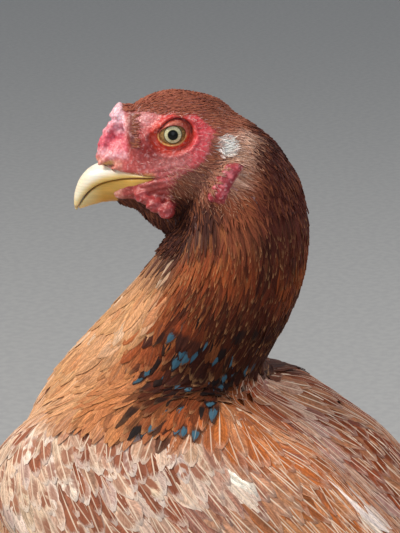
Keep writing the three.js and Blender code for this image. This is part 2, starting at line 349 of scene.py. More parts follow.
def outward(piece: Piece) -> Piece:
    """Merges a closed piece's doubled points and turns all of its faces outwards.

    Args:
        piece: the piece, which is changed.

    Returns:
        The same piece.
    """
    work = bmesh.new()
    work.from_mesh(piece.data)
    bmesh.ops.remove_doubles(work, verts=work.verts, dist=0.000001)
    bmesh.ops.recalc_face_normals(work, faces=work.faces)
    work.to_mesh(piece.data)
    work.free()
    piece.data.update()
    return piece


def quads(rings: int, sides: int) -> list[tuple[int, ...]]:
    """The four-sided faces between rings of points, ring by ring.

    Args:
        rings: how many rings.
        sides: points round each.

    Returns:
        The faces, by their points' numbers.
    """
    faces = []
    for row in range(0, (rings - 1) * sides, sides):
        for k in range(sides):
            n = (k + 1) % sides
            faces.append((row + k, row + n, row + sides + n, row + sides + k))
    return faces


def loft(rings: Array, name: str) -> Piece:
    """A closed body through rings of points, with a fan at either end.

    Args:
        rings: an array of rings, each a row of points.
        name: the object's name.

    Returns:
        The body.
    """
    count, sides = rings.shape[:2]
    points = np.concatenate([rings.reshape(-1, 3), [rings[0].mean(0)], [rings[-1].mean(0)]])
    faces: list[tuple[int, ...]] = []
    for k in range(sides):
        n = (k + 1) % sides
        for i in range(count - 1):
            faces.append((i * sides + k, i * sides + n, (i + 1) * sides + n, (i + 1) * sides + k))
        faces.append((count * sides, n, k))
        faces.append((count * sides + 1, (count - 1) * sides + k, (count - 1) * sides + n))
    return outward(new_object(name, points, faces))


def sweep(
    name: str, rows: Sequence[Sequence[float]], across: Array, rings: int, sides: int
) -> Piece:
    """A closed body swept through the head's middle plane.

    Args:
        name: the object's name.
        rows: forward, up, half width, height above the path and depth below it, in millimetres.
        across: the direction of the half width.
        rings: sections along the body.
        sides: points round a section.

    Returns:
        The body.
    """
    table = spline(rows, rings)
    path = BIRD.on_head(table[:, :1], table[:, 1:2])
    along = unit(np.gradient(path, axis=0))
    top = unit(np.cross(along, across))
    turn = 2 * math.pi * np.arange(sides) / sides
    wide = table[:, 2:3] * np.cos(turn)
    tall = np.where(np.sin(turn) > 0, table[:, 3:4], table[:, 4:5]) * np.sin(turn)
    return loft(path[:, None] + (wide[..., None] * across + tall[..., None] * top[:, None]) * MM, name)


def blob(place: Array, radii: Sequence[float], pitch: float = 0.0) -> Piece:
    """A lump of flesh in the head's frame.

    Args:
        place: its middle.
        radii: its half sizes ahead, to the left and up, in millimetres.
        pitch: how far its nose is turned down, in degrees.

    Returns:
        The lump.
    """
    dip = math.radians(pitch)
    ahead = BIRD.ahead * math.cos(dip) - BIRD.up * math.sin(dip)
    top = BIRD.up * math.cos(dip) + BIRD.ahead * math.sin(dip)
    tilt = np.linspace(0.02, math.pi - 0.02, 10)[:, None]
    turn = 2 * math.pi * np.arange(14) / 14
    ring = (
        (np.cos(tilt) * radii[0] + 0 * turn)[..., None] * ahead
        + (np.sin(tilt) * np.cos(turn) * radii[1])[..., None] * BIRD.head_left
        + (np.sin(tilt) * np.sin(turn) * radii[2])[..., None] * top
    )
    return loft(place + ring * MM, "blob")


def keep(piece: Piece, nodes: Sequence[str] = ()) -> None:
    """Hands a finished piece to the frame and reports it.

    Args:
        piece: the piece.
        nodes: the CAD nodes that it stands in for.
    """
    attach(piece, "root")
    if nodes:
        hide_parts(*nodes)
    LOG.info("%s: %d triangles", piece.name, sum(len(p.vertices) - 2 for p in piece.data.polygons))


# ---- The bird's own frames ----


@dataclass
class Anatomy:
    """Where the head, neck and trunk lie, worked out from the frame's eyes and the bird's posture.

    Places are read in millimetres: on the head as ahead, up and out to its left; on the body as along the
    back, above the trunk's axis and out to the left; on the neck as down its axis, away from it and how far
    to its front.
    """

    back_slope: float = math.radians(37)
    fan_point: int = 34
    eye_forward: float = 8.6
    eye_up: float = 2.8
    skull_in_body: tuple[float, float, float] = (3, -1, 437)
    trunk_in_body: tuple[float, float, float] = (0, 22, 250)
    neck_in_body: tuple[tuple[float, float, float], ...] = (
        (0, 11, 448), (-3, 14, 430), (-3, 19, 412), (-2, 20, 393), (0, 12, 371), (0, -6, 345), (0, -26, 318),
    )

    def __post_init__(self) -> None:
        """Finds the head's axes from the eyes, and every other place from them."""
        low_l, high_l = (np.array(c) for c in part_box("eye_left"))
        low_r, high_r = (np.array(c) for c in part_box("eye_right"))
        self.eyes = {1: (low_l + high_l) / 2, -1: (low_r + high_r) / 2}
        self.eye_radius = float(high_l[2] - low_l[2]) / 2
        self.head_left = unit(self.eyes[1] - self.eyes[-1])
        self.eye_out = float(np.linalg.norm(self.eyes[1] - self.eyes[-1])) / 2 / MM
        self.up = np.array([0.0, 0.0, 1.0])
        self.left = np.array([1.0, 0.0, 0.0])
        self.ahead = unit(np.cross(self.head_left, self.up))
        between = (self.eyes[1] + self.eyes[-1]) / 2
        self.skull = between - (self.ahead * self.eye_forward + self.up * self.eye_up) * MM
        self.shift = self.skull - np.array(self.skull_in_body) * MM
        self.trunk = self.shift + np.array(self.trunk_in_body) * MM
        self.tailward = np.array([0, math.cos(self.back_slope), -math.sin(self.back_slope)])
        self.back_up = np.array([0, math.sin(self.back_slope), math.cos(self.back_slope)])
        self.neck = spline(self.shift + np.array(self.neck_in_body) * MM, 60)
        self.neck_course = unit(np.gradient(self.neck, axis=0))

    def head(self, p: Array) -> tuple[Array, Array, Array]:
        """Places on the head: ahead, up and out to its left."""
        d = (p - self.skull) / MM
        return d @ self.ahead, d @ self.up, d @ self.head_left

    def body(self, p: Array) -> tuple[Array, Array, Array]:
        """Places on the body: along the back, above the trunk's axis, and out to the left."""
        d = (p - self.trunk) / MM
        return d @ self.tailward, d @ self.back_up, d @ self.left

    def on_head(self, forward: Array, up: Array, out: Array = 0.0) -> Array:
        """A point from millimetres ahead, up and out from the skull's middle."""
        return self.skull + (self.ahead * forward + self.up * up + self.head_left * out) * MM

    def on_trunk(self, along: float, lift: float, out: float = 0) -> Array:
        """A point from millimetres along, above and out from the trunk's middle."""
        return self.trunk + (self.tailward * along + self.back_up * lift + self.left * out) * MM

    def on_neck(self, p: Array) -> tuple[Array, Array, Array]:
        """Places on the neck: down its axis, away from it, and from -1 behind to 1 in front.

        Args:
            p: points, one a row.

        Returns:
            Millimetres down, millimetres away and the frontness of each point.
        """
        step = np.linalg.norm(np.diff(self.neck, axis=0), axis=1)
        length = np.concatenate([[0], np.cumsum(step)]) / MM
        near = self.nearest(p)
        off = p - self.neck[near]
        course = self.neck_course[near]
        past = (off * course).sum(-1) / MM
        front_way = unit(np.cross(course, np.cross(np.array([0, -1.0, 0.25]), course)))
        front = (unit(off) * front_way).sum(-1)
        down = length[near] + np.where(near == len(self.neck) - 1, np.maximum(past, 0), 0)
        return down, np.linalg.norm(off, axis=1) / MM, front

    def nearest(self, p: Array) -> Array:
        """The nearest of the neck's points to each place."""
        return np.argmin(((p[:, None] - self.neck[None]) ** 2).sum(-1), axis=1)

    def eye_ring(self, p: Array) -> tuple[Array, Array, Array]:
        """Places round the nearer eye.

        Args:
            p: points, one a row.

        Returns:
            The distance from the pupil as a share of the lids' almond, millimetres ahead of it and above it.
        """
        f, u, _ = self.head(p)
        x, y = f - self.eye_forward, u - self.eye_up
        level, rise = x * 0.974 - y * 0.225, y * 0.974 + x * 0.225
        share = np.hypot(level / np.where(level > 0, 5.8, 5.2), rise / np.where(rise > 0, 3.7, 4.2))
        return share, x, y

    def lid_crease(self, x: Array, y: Array) -> Array:
        """Where the upper lid folds under the brow, as a share of the almond, by the turn round the eye."""
        turn = np.degrees(np.arctan2(np.abs(y), x))
        return np.interp(turn, [0, 35, 67, 100, 127, 154, 180], [1.12, 1.24, 1.5, 1.7, 1.68, 1.58, 1.5])


BIRD = Anatomy()
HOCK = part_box("thigh_left")[0][2] + 0.002


# ---- Markings, with some painted light and shade, which skin and feathers share ----


class Markings:
    """The bird's colours by place, with some painted light and shade, the same for bare skin and for the
    feathers that grow there.
    """

    def bald(self, p: Array) -> Array:
        """How bare the head is, from 0 under full plumage to 1 on the face.

        Args:
            p: points, one a row.

        Returns:
            A share for each point.
        """
        f, u, _ = BIRD.head(p)
        heights = [-36, -31, -27, -22, -16, -9, -3, 5, 11, 16]
        rear = np.interp(u, heights, [12, 8, 7, 9, 7, -2.5, -6.5, -8.8, 0, 12])
        bare = smooth(f - rear + 1.2 * value_noise(p, 4 * MM, 2), -3.6, 2.2)
        bare = bare * smooth(u + 0.8 * value_noise(p, 3 * MM, 3), 12.6, 9.6)
        bare = np.maximum(bare, smooth(f, 29, 32) * (u > -24))
        bare = bare * smooth(u - np.interp(f, [9, 13, 20, 26, 31], [-34, -33, -29.5, -26.5, -27]), -0.8, 0.8)
        bare = bare * (1 - 0.9 * bell(f, 25.2, 1.5) * smooth(u, -5, -1) * (value_noise(p, 2 * MM, 9) > -0.3))
        return np.where(p[:, 2] > BIRD.skull[2] - 0.05, np.maximum(bare, self.lobe(p)), 0)

    def lobe(self, p: Array) -> Array:
        """How far places belong to the red ear lobes.

        Args:
            p: points, one a row.

        Returns:
            A share for each point.
        """
        f, u, o = BIRD.head(p)
        middle = np.interp(u, [-23, -16, -9], [-9.2, -12.5, -17])
        across = smooth(np.abs(f - middle), 4.6, 3.6)
        return across * smooth(u, -26, -23) * smooth(u, -6.5, -9) * (np.abs(o) > 14)

    def tuft(self, p: Array) -> Array:
        """How far places belong to the white tufts over the ears."""
        f, u, o = BIRD.head(p)
        return smooth(np.hypot(f + 12.9, (u + 1.8) / 1.15), 4.7, 2.2) * (np.abs(o) > 10)

    def hackled(self, p: Array) -> Array:
        """How far places belong to the neck's hackles and cape, which stop short behind the neck.

        Args:
            p: points, one a row.

        Returns:
            A share for each point.
        """
        down, away, front = BIRD.on_neck(p)
        cape = smooth(away - self.cape_reach(front), 5, -2) * smooth(down, 150, 132)
        return np.maximum(smooth(down, 96, 88) * (away < 60), cape)

    @staticmethod
    def cape_reach(front: Array) -> Array:
        """How far from the neck's axis the cape's roots stand, by frontness."""
        return 29 + 22 * smooth(front, -0.97, -0.6) + 8 * smooth(front, -0.2, 0.4)

    def face(self, p: Array) -> Array:
        """Colours of the bare face, comb, lids, wattles and lobes, with painted shade in the lids' creases,
        the mouth's folds, the nostril's slit and under the upper lid, and painted highlights on the crests of
        folds and wrinkles.

        Args:
            p: points, one a row.

        Returns:
            A colour for each point.
        """
        f, u, o = BIRD.head(p)
        ring, x, y = BIRD.eye_ring(p)
        top = smooth(y, -1.2, 1.2)
        rough = value_noise(p, 1.7 * MM, 4)
        soft = value_noise(p, 5 * MM, 8)
        strands = np.sin(2.3 * (u + 0.28 * (f - 10) + 0.5 * soft)) * bell(f, 12, 8) * bell(u, -13.5, 4)
        crease = BIRD.lid_crease(x, y)
        rays = np.sin(np.arctan2(y, x) * 44 + 2 * value_noise(p, 6 * MM, 11))
        wattle = smooth(np.abs(u - np.interp(f, [6, 11, 17, 25], [-28, -30, -27.5, -22.5])), 4.6, 3.2)
        wattle = wattle * smooth(f, 5, 7.5) * smooth(f, 27, 24) * (np.abs(o) > 9)
        colour = painted(
            np.tile(rgb("#d86a66"), (len(p), 1)),
            ("#f24e5a", smooth(f, 5, -2) * smooth(u, -16, -8)),
            ("#dc948e", bell(f, 12, 11) * bell(u, -9.5, 4.5) * (0.7 + 0.3 * soft)),
            ("#e0a2a6", bell(f, 20.5, 7) * bell(u, 9, 5) * (0.65 + 0.35 * rough)),
            ("#8a1612", bell(f, 19.5, 7.5) * bell(u, -4, 5.6)),
            ("#6e2a22", bell(f, 26.0, 2.0) * smooth(u, -7, -1) * 0.9),
            ("#a04840", smooth(u, -15, -20) * 0.8),
            # the folds by the mouth: painted highlight on their raised crests and painted shade in their
            # grooves
            ("#e07478", smooth(strands, 0.15, 0.6) * 0.6),
            ("#8a2c30", smooth(-strands, 0.2, 0.7) * 0.5),
            ("#6b3428", smooth(u, -22, -29) * smooth(f, 24, 14) * 0.8),
            ("#e24640", bell(ring - crease, 0.44, 0.46) * top * smooth(x, -13, -5)),
            # painted shade in the crease under the lower lid
            ("#7c2420", bell(ring, 1.66, 0.12) * (1 - top) * 0.5),
            ("#e0543e", smooth(ring, 2.0, 1.5)),
            ("#cf7862", smooth(ring, 1.02, 1.12) * smooth(ring - crease, 0, -0.2) * top),
            # painted shade: a dark line in the upper lid's crease, under the overhanging brow
            ("#6e1a18", bell(ring - crease, 0.02, 0.09) * top * smooth(ring, 1.0, 1.1)),
            # painted shadow: a dark line along the upper lid's rim, where the lid overhangs the eye
            ("#3c1610", bell(ring, 1.0, 0.07) * top),
            ("#e6bd6a", bell(ring, 1.09, 0.08) * (1 - top)),
            # painted highlight on the raised crests of the wrinkles behind the eye
            ("#eba0a4", smooth(rays, 0.1, 0.8) * bell(ring, 2.7, 0.7) * smooth(x, 3, -5) * 0.3),
            ("#b84648", wattle * (0.85 + 0.15 * rough)),
        )
        lobe = painted(np.tile(rgb("#a83440"), (len(p), 1)), ("#e8808a", smooth(rough, 0.0, 0.6)))
        colour = blend(colour, lobe, self.lobe(p))
        comb = painted(
            np.tile(rgb("#ee6c80"), (len(p), 1)),
            ("#ffdce8", smooth(u + 3 * rough, -1, 8)),
            ("#fac8d0", smooth(u + rough, -4, -8) * 0.9),
        )
        colour = blend(colour, comb, smooth(f - 0.1 * u, 27.5, 29.5) * smooth(u, -10, -7))
        nostril = np.hypot((f - 36.6) / 2.9, (u + 11.3 + 0.3 * (f - 36.6)) / 1.15)
        # painted shade in the nostril's slit under its flap
        nostril_slit_shade = bell(u + 0.3 * (f - 36.6), -12.6, 0.45) * smooth(np.abs(f - 36.6), 3.4, 2.2)
        lip = bell(u - np.interp(f, [15, 27, 33], [-15.3, -16.4, -17.6]), 0.6, 1.1) * smooth(f, 14.5, 19)
        return painted(
            colour,
            ("#f0ac98", smooth(f, 29, 32) * smooth(u, -8.5, -10.5)),
            ("#e8bd74", smooth(nostril, 1.15, 0.7) * (np.abs(o) > 2.5)),
            ("#4a2218", nostril_slit_shade * (np.abs(o) > 2.5)),
            ("#e3b060", lip * 0.85),
        )

    def plumage(self, p: Array) -> Array:
        """Ground colours of the feathers that grow at points, with painted shade on the back's far side and
        beside its ridge, low on the neck's rear and under the jaw.

        Args:
            p: points, one a row.

        Returns:
            A colour for each point.
        """
        ones = np.ones((len(p), 1))
        f, u, o = BIRD.head(p)
        down, _, front = BIRD.on_neck(p)
        along, lift, out = BIRD.body(p)
        patchy = value_noise(p, 14 * MM, 5)
        fine = value_noise(p, 5 * MM, 6)
        # the back: darker on the far side of its midline than on the near side, which is painted shade
        back = painted(
            rgb("#8a3810") * ones,
            ("#b86530", smooth(out + 6 * fine, -2, 16)),
            ("#b8703f", smooth(along, 20, 70) * 0.7),
        )
        bow = painted(
            rgb("#e0bfa4") * ones,
            ("#925238", smooth(value_noise(p, 6 * MM, 21), -0.1, 0.3)),
            ("#a57260", smooth(along + 8 * patchy, -44, -30)),
            ("#b66c3c", smooth(along + 8 * patchy, -18, -4)),
        )
        wing = smooth(np.abs(out), 38, 52) * smooth(lift, -60, -30) * smooth(along, -118, -96)
        colour = painted(rgb("#dba374") * ones, ("#d9b491", smooth(lift, -30, -70)))
        colour = blend(colour, back, smooth(lift + 0.25 * np.abs(out), 4, 26) * smooth(along, -100, -60))
        colour = blend(colour, bow, wing)
        course = np.interp(along, [-45, -29, -14, 14, 35, 90], [-13, -5, 3, 3, -5, -8])
        top = smooth(lift, 40, 60) * smooth(along, 110, 70)
        colour = painted(
            colour,
            # painted shadow in the hollow beside the back's ridge, on its far side
            ("#803a14", bell(out + 3 * fine, course - 17, 12) * top * 0.7),
            ("#dcc2b8", bell(out + 0.5 * fine, course, 3.2) * top * 0.5),
        )
        for place in ((-12, 60, 54), (30, 76, 28)):
            spot = np.linalg.norm(np.stack([along + 13, lift, out], axis=1) - np.array(place), axis=1)
            colour = painted(colour, ("#f8ece0", smooth(spot, 8, 3)))
        colour = painted(colour, ("#6a4230", smooth(along, 110, 170) * 0.8))
        mottle = fine + 0.5 * patchy
        rearward = smooth(front, 0.05, -0.4)
        low = smooth(down, 94 + 16 * rearward, 110 + 16 * rearward) * smooth(front, 0.5, 0.1)
        low = np.maximum(low, smooth(along, -66, -52) * smooth(down, 96, 104) * smooth(out, 20, 34))
        # the lower rear of the neck: partly the feathers' own near-black, partly painted shade
        dark = smooth(down, 60, 76) * smooth(front + 0.25 * patchy, 0.05, -0.4) * (1 - low)
        hackle = painted(
            rgb("#5a2414") * ones,
            ("#944422", smooth(front + 0.2 * fine, -0.95, -0.3)),
            ("#a85428", smooth(mottle, 0.15, 0.7) * smooth(down, 70, 56) * 0.7),
            ("#3a140c", smooth(mottle, -0.15, -0.7) * smooth(front, 0.4, 0.1) * 0.7),
            ("#a8562c", low),
            ("#cc8454", low * smooth(front + 0.15 * fine, -0.6, -0.25)),
            # near-black low on the neck's rear: partly the feathers' own colour, partly painted shade
            ("#30130b", dark * 0.8),
            ("#ac5f34", smooth(front + 0.2 * fine, -0.05, 0.35) * smooth(down, 48, 74)),
            ("#d0996c", smooth(front + 0.2 * fine + 0.004 * (down - 80), 0.2, 0.5) * smooth(down, 56, 80)),
        )
        colour = blend(colour, hackle, self.hackled(p))
        crown = blend(rgb("#a4604c") * ones, rgb("#54241a"), smooth(f + 3 * fine, 4, -22))
        cheek = painted(
            crown * (1 + 0.3 * patchy + 0.15 * fine)[:, None],
            ("#cc8064", bell(f, -14, 7) * bell(u, 5, 8) * 0.9),
            ("#8c4a30", smooth(u, 2, -8) * smooth(f, -30, -20)),
            ("#9c6a5a", bell(f, -1, 10) * bell(u, -15, 9) * 0.85),
            # darker under the jaw: partly the throat's brown, partly painted shade
            ("#42201a", smooth(u + 2 * fine, -20, -27) * smooth(f, -16, -6)),
            ("#6e4034", smooth(f, 6, 20) * smooth(u, -20, -26) * 0.7),
        )
        colour = blend(colour, cheek, smooth(u + 14 * smooth(f, -2, 6), -44, -32) * (u > -58))
        halo = bell(f + 17.5 + 0.3 * (u + 6), 0, 5.6) * smooth(u, 7, 1)
        halo = halo * smooth(u, -22, -12) * (np.abs(o) > 9)
        return painted(
            colour,
            ("#ecc4ae", halo * (u > -30) * (0.85 + 0.15 * fine)),
            ("#fffaf4", self.tuft(p)),
        )

    def skin(self, p: Array) -> Array:
        """Colours of all of the skin, bare or feathered, with its horny legs."""
        colour = blend(self.plumage(p), self.face(p), self.bald(p))
        return blend(colour, rgb("#d2ad58") * np.ones((len(p), 1)), smooth(p[:, 2], 0.128, 0.116))


MARKINGS = Markings()


# ---- Materials ----


class Kind(Enum):
    """Kinds of node: type, own properties, the inputs that are given in order, and the output."""

    ADD = "ShaderNodeMath", {"operation": "ADD"}, (0, 1), 0
    SUBTRACT = "ShaderNodeMath", {"operation": "SUBTRACT"}, (0, 1), 0
    TIMES = "ShaderNodeMath", {"operation": "MULTIPLY"}, (0, 1), 0
    POWER = "ShaderNodeMath", {"operation": "POWER"}, (0, 1), 0
    MAXIMUM = "ShaderNodeMath", {"operation": "MAXIMUM"}, (0, 1), 0
    ABSOLUTE = "ShaderNodeMath", {"operation": "ABSOLUTE"}, (0,), 0
    SINE = "ShaderNodeMath", {"operation": "SINE"}, (0,), 0
    COSINE = "ShaderNodeMath", {"operation": "COSINE"}, (0,), 0
    RAMP = "ShaderNodeMapRange", {"interpolation_type": "SMOOTHSTEP"}, (0, 1, 2, 3, 4), 0
    COMBINE = "ShaderNodeCombineXYZ", {}, (0, 1, 2), 0
    MOVE = "ShaderNodeVectorMath", {"operation": "ADD"}, (0, 1), 0
    NOISE = "ShaderNodeTexNoise", {}, ("Vector", "Scale", "Detail", "Roughness"), 0
    CELLS = "ShaderNodeTexVoronoi", {"feature": "F1"}, ("Vector", "Scale"), 0
    JOINTS = "ShaderNodeTexVoronoi", {"feature": "DISTANCE_TO_EDGE"}, ("Vector", "Scale"), 0
    PLACE = "ShaderNodeTexCoord", {}, (), "Object"
    MIX = "ShaderNodeMix", {"data_type": "RGBA"}, (0, 6, 7), 2
    SHADE = "ShaderNodeMix", {"data_type": "RGBA", "blend_type": "MULTIPLY"}, (0, 6, 7), 2
    VALUE = "ShaderNodeAttribute", {}, (), "Fac"
    COLOUR = "ShaderNodeAttribute", {}, (), "Color"
    NUMBER = "GeometryNodeInputNamedAttribute", {"data_type": "FLOAT"}, (0,), 0
    WHOLE = "GeometryNodeInputNamedAttribute", {"data_type": "INT"}, (0,), 0
    ARROW = "GeometryNodeInputNamedAttribute", {"data_type": "FLOAT_VECTOR"}, (0,), 0
    ALIGN = "FunctionNodeAlignRotationToVector", {}, ("Vector",), 0
    SOURCE = "GeometryNodeObjectInfo", {"transform_space": "ORIGINAL"}, ("Object",), "Geometry"


def add(tree: Tree, kind: Kind | str, *ordered: object, **named: object) -> Socket:
    """Adds a node with its settings and its inputs' values or links.

    Args:
        tree: the node tree.
        kind: one of the kinds above, or a node's type.
        *ordered: values or output sockets for the kind's inputs, in order.
        **named: the node's own properties in small letters, or inputs by name with _ for a space.

    Returns:
        The kind's output, or the node's first.
    """
    word, settings, order, output = kind.value if isinstance(kind, Kind) else (kind, {}, (), 0)
    node = tree.nodes.new(word)
    for key, value in (settings | {k: v for k, v in named.items() if k[0].islower()}).items():
        setattr(node, key, value)
    inputs = [(k.replace("_", " "), v) for k, v in named.items() if k[0].isupper()]
    for key, value in [*zip(order, ordered), *inputs]:
        if isinstance(value, Socket):
            tree.links.new(value, node.inputs[key])
        else:
            node.inputs[key].default_value = value
    return node.outputs[output]


Drawn = tuple[Socket, tuple[object, float, float] | None]


@dataclass(frozen=True)
class Finish:
    """What every finish has: its name, its roughness, its gloss and how far light enters it."""

    name: str
    roughness: float = 0.6
    specular: float = 0.5
    coat: float = 0.0
    subsurface: float = 0.0

    def make(self) -> Material:
        """The material: uniform values on the shader's own sockets, then its drawn colour and relief.

        Returns:
            The material.
        """
        material = bpy.data.materials.new(self.name)
        material.use_nodes = True
        tree = material.node_tree
        shader = tree.nodes["Principled BSDF"]
        for socket, value in (
            ("Roughness", self.roughness),
            ("Specular IOR Level", self.specular),
            ("Coat Weight", self.coat),
            ("Coat Roughness", 0.05),
            ("Subsurface Weight", self.subsurface),
            ("Subsurface Radius", (1.0, 0.3, 0.2)),
            ("Subsurface Scale", 0.002),
        ):
            shader.inputs[socket].default_value = value
        colour, relief = self.draw(tree)
        tree.links.new(colour, shader.inputs["Base Color"])
        if relief:
            height, strength, deep = relief
            bump = add(tree, "ShaderNodeBump", Strength=strength, Distance=deep, Height=height)
            tree.links.new(bump, shader.inputs["Normal"])
        return material

    def draw(self, tree: Tree) -> Drawn:
        """The finish's colour, and its relief's height, strength and depth where it has one."""
        raise NotImplementedError


@dataclass(frozen=True)
class FeatherVane(Finish):
    """Contour feathers: keratin barbs on a pale shaft, matt, with the barbs' fine oblique streaks."""

    name: str = "feather_vane"
    roughness: float = 0.66
    specular: float = 0.16
    barb: float = 2.4

    def draw(self, tree: Tree) -> Drawn:
        """Ground colour by feather, with shaft, blotch, edge and tip drawn along and across each vane.

        Args:
            tree: the material's node tree.

        Returns:
            Its colour and its relief.
        """
        along = add(tree, Kind.VALUE, attribute_name="along")
        across = add(tree, Kind.VALUE, attribute_name="across")
        wide = add(tree, Kind.ABSOLUTE, across)
        slant = add(tree, Kind.SUBTRACT, along, add(tree, Kind.TIMES, wide, 0.22))
        seed = add(tree, Kind.VALUE, attribute_name="seed")
        barb = add(
            tree, Kind.COMBINE,
            add(tree, Kind.TIMES, across, 1.3),
            add(tree, Kind.TIMES, slant, 10.0),
            add(tree, Kind.TIMES, seed, 50.0),
        )
        streak = add(tree, Kind.NOISE, barb, self.barb, 3.0, 0.65)
        cloud = add(tree, Kind.NOISE, barb, 0.55, 1.0)
        drawn_out = add(tree, Kind.TIMES, along, 2.2)
        strand = add(
            tree, Kind.COMBINE,
            add(tree, Kind.TIMES, across, 4.0),
            drawn_out,
            add(tree, Kind.TIMES, seed, 31.0),
        )
        strands = add(tree, Kind.NOISE, strand, 1.0, 2.0)
        streaked = add(tree, Kind.RAMP, streak, 0.3, 0.7, 0.7, 1.25)
        shade = add(tree, Kind.TIMES, streaked, add(tree, Kind.RAMP, strands, 0.3, 0.7, 0.68, 1.28))
        colour = add(tree, Kind.SHADE, 1.0, add(tree, Kind.COLOUR, attribute_name="tint_ground"), shade)
        ragged = add(tree, Kind.ADD, along, add(tree, Kind.TIMES, add(tree, Kind.SUBTRACT, streak, 0.5), 0.3))
        rim = add(
            tree, Kind.MAXIMUM,
            add(tree, Kind.RAMP, wide, 0.7, 1.0, 0.0, 0.55),
            add(tree, Kind.RAMP, ragged, 0.82, 0.97),
        )
        edge = add(tree, Kind.TIMES, rim, add(tree, Kind.VALUE, attribute_name="edged"))
        colour = add(tree, Kind.MIX, edge, colour, add(tree, Kind.COLOUR, attribute_name="tint_edge"))
        blotch = add(
            tree, Kind.TIMES,
            add(tree, Kind.RAMP, ragged, 0.36, 0.56),
            add(tree, Kind.RAMP, ragged, 0.95, 0.8),
        )
        blotch = add(tree, Kind.TIMES, blotch, add(tree, Kind.RAMP, wide, 1.0, 0.7))
        blotch = add(tree, Kind.TIMES, blotch, add(tree, Kind.RAMP, cloud, 0.36, 0.5))
        blotch = add(tree, Kind.TIMES, blotch, add(tree, Kind.VALUE, attribute_name="blotched"))
        mark = add(tree, Kind.COLOUR, attribute_name="tint_mark")
        colour = add(tree, Kind.MIX, blotch, colour, mark)
        tip = add(
            tree, Kind.TIMES,
            add(tree, Kind.RAMP, ragged, 0.56, 0.68),
            add(tree, Kind.VALUE, attribute_name="tipped"),
        )
        colour = add(tree, Kind.MIX, tip, colour, mark)
        ahead = add(tree, Kind.TIMES, add(tree, Kind.SUBTRACT, ragged, 0.84), 7.0)
        widened = add(tree, Kind.TIMES, add(tree, Kind.TIMES, wide, wide), 1.3)
        oval = add(tree, Kind.ADD, add(tree, Kind.TIMES, ahead, ahead), widened)
        glossed = add(
            tree, Kind.TIMES,
            add(tree, Kind.RAMP, oval, 1.0, 0.5),
            add(tree, Kind.VALUE, attribute_name="glossed"),
        )
        colour = add(tree, Kind.MIX, glossed, colour, linear("#3f6577"))
        shaft = add(
            tree, Kind.TIMES, add(tree, Kind.RAMP, wide, 0.11, 0.03), add(tree, Kind.RAMP, along, 0.98, 0.9)
        )
        shaft = add(tree, Kind.TIMES, shaft, add(tree, Kind.VALUE, attribute_name="shafted"))
        colour = add(tree, Kind.MIX, shaft, colour, linear("#f2dac0"))
        return colour, (streak, 0.4, 0.0003)


@dataclass(frozen=True)
class LivingSkin(Finish):
    """Bare poultry skin: thin, blood-red and finely wrinkled. Light enters it; its folds shine a little."""

    name: str = "living_skin"
    roughness: float = 0.4
    specular: float = 0.5
    subsurface: float = 0.25
    coat: float = 0.06

    def draw(self, tree: Tree) -> Drawn:
        """Colour by place, with pores and wrinkles 0.5 mm to 2 mm apart.

        Args:
            tree: the material's node tree.

        Returns:
            Its colour and its relief.
        """
        place = add(tree, Kind.PLACE)
        pores = add(tree, Kind.CELLS, place, 1 / 0.0014)
        grain = add(tree, Kind.NOISE, place, 1 / 0.0016, 4.0)
        ground = add(tree, Kind.COLOUR, attribute_name="tint_ground")
        lit = add(
            tree, Kind.SHADE, add(tree, Kind.RAMP, pores, 0.15, 0.75, 0.0, 0.6), ground, linear("#d08888")
        )
        lit = add(tree, Kind.MIX, add(tree, Kind.RAMP, grain, 0.54, 0.72, 0.0, 0.42), lit, linear("#f2bcbc"))
        lit = add(tree, Kind.MIX, add(tree, Kind.RAMP, grain, 0.44, 0.28, 0.0, 0.35), lit, linear("#8a2026"))
        return lit, (add(tree, Kind.ADD, add(tree, Kind.TIMES, pores, -0.7), grain), 0.5, 0.0006)


@dataclass(frozen=True)
class CoatedSkin(Finish):
    """Skin under plumage, seen only between feathers: matt, in the feathers' colour darkened as painted shade
    between them.
    """

    name: str = "coated_skin"
    roughness: float = 0.85
    specular: float = 0.2

    def draw(self, tree: Tree) -> Drawn:
        """Colour by place, darkened as painted shade, with down 2 mm across.

        Args:
            tree: the material's node tree.

        Returns:
            Its colour and its relief.
        """
        place = add(tree, Kind.PLACE)
        down = add(tree, Kind.NOISE, place, 1 / 0.002, 3.0)
        # painted shade: the ground colour is always darkened, by 5 % to 40 % with the down's mottle
        shade = add(tree, Kind.RAMP, down, 0.3, 0.7, 0.6, 0.95)
        colour = add(tree, Kind.SHADE, 1.0, add(tree, Kind.COLOUR, attribute_name="tint_ground"), shade)
        return colour, (down, 0.6, 0.0006)


@dataclass(frozen=True)
class LegScale(Finish):
    """Horny leg scales: waxy yellow plates with darker, dusty joints between them."""

    name: str = "leg_scale"
    roughness: float = 0.45
    specular: float = 0.45

    def draw(self, tree: Tree) -> Drawn:
        """Plates are darkened by the joint attribute; wax and dust vary over 3 mm.

        Args:
            tree: the material's node tree.

        Returns:
            Its colour and its relief.
        """
        place = add(tree, Kind.PLACE)
        wax = add(tree, Kind.NOISE, place, 1 / 0.003, 4.0)
        cells = add(tree, Kind.JOINTS, place, 1 / 0.0022)
        ground = add(tree, Kind.COLOUR, attribute_name="tint_ground")
        colour = add(tree, Kind.SHADE, 1.0, ground, add(tree, Kind.RAMP, wax, 0.3, 0.75, 0.78, 1.16))
        colour = add(tree, Kind.MIX, add(tree, Kind.VALUE, attribute_name="joint"), colour, linear("#8a6a34"))
        colour = add(
            tree, Kind.MIX, add(tree, Kind.RAMP, cells, 0.1, 0.0, 0.0, 0.3), colour, linear("#9c7a40")
        )
        return colour, (add(tree, Kind.RAMP, cells, 0.0, 0.12), 0.35, 0.0005)


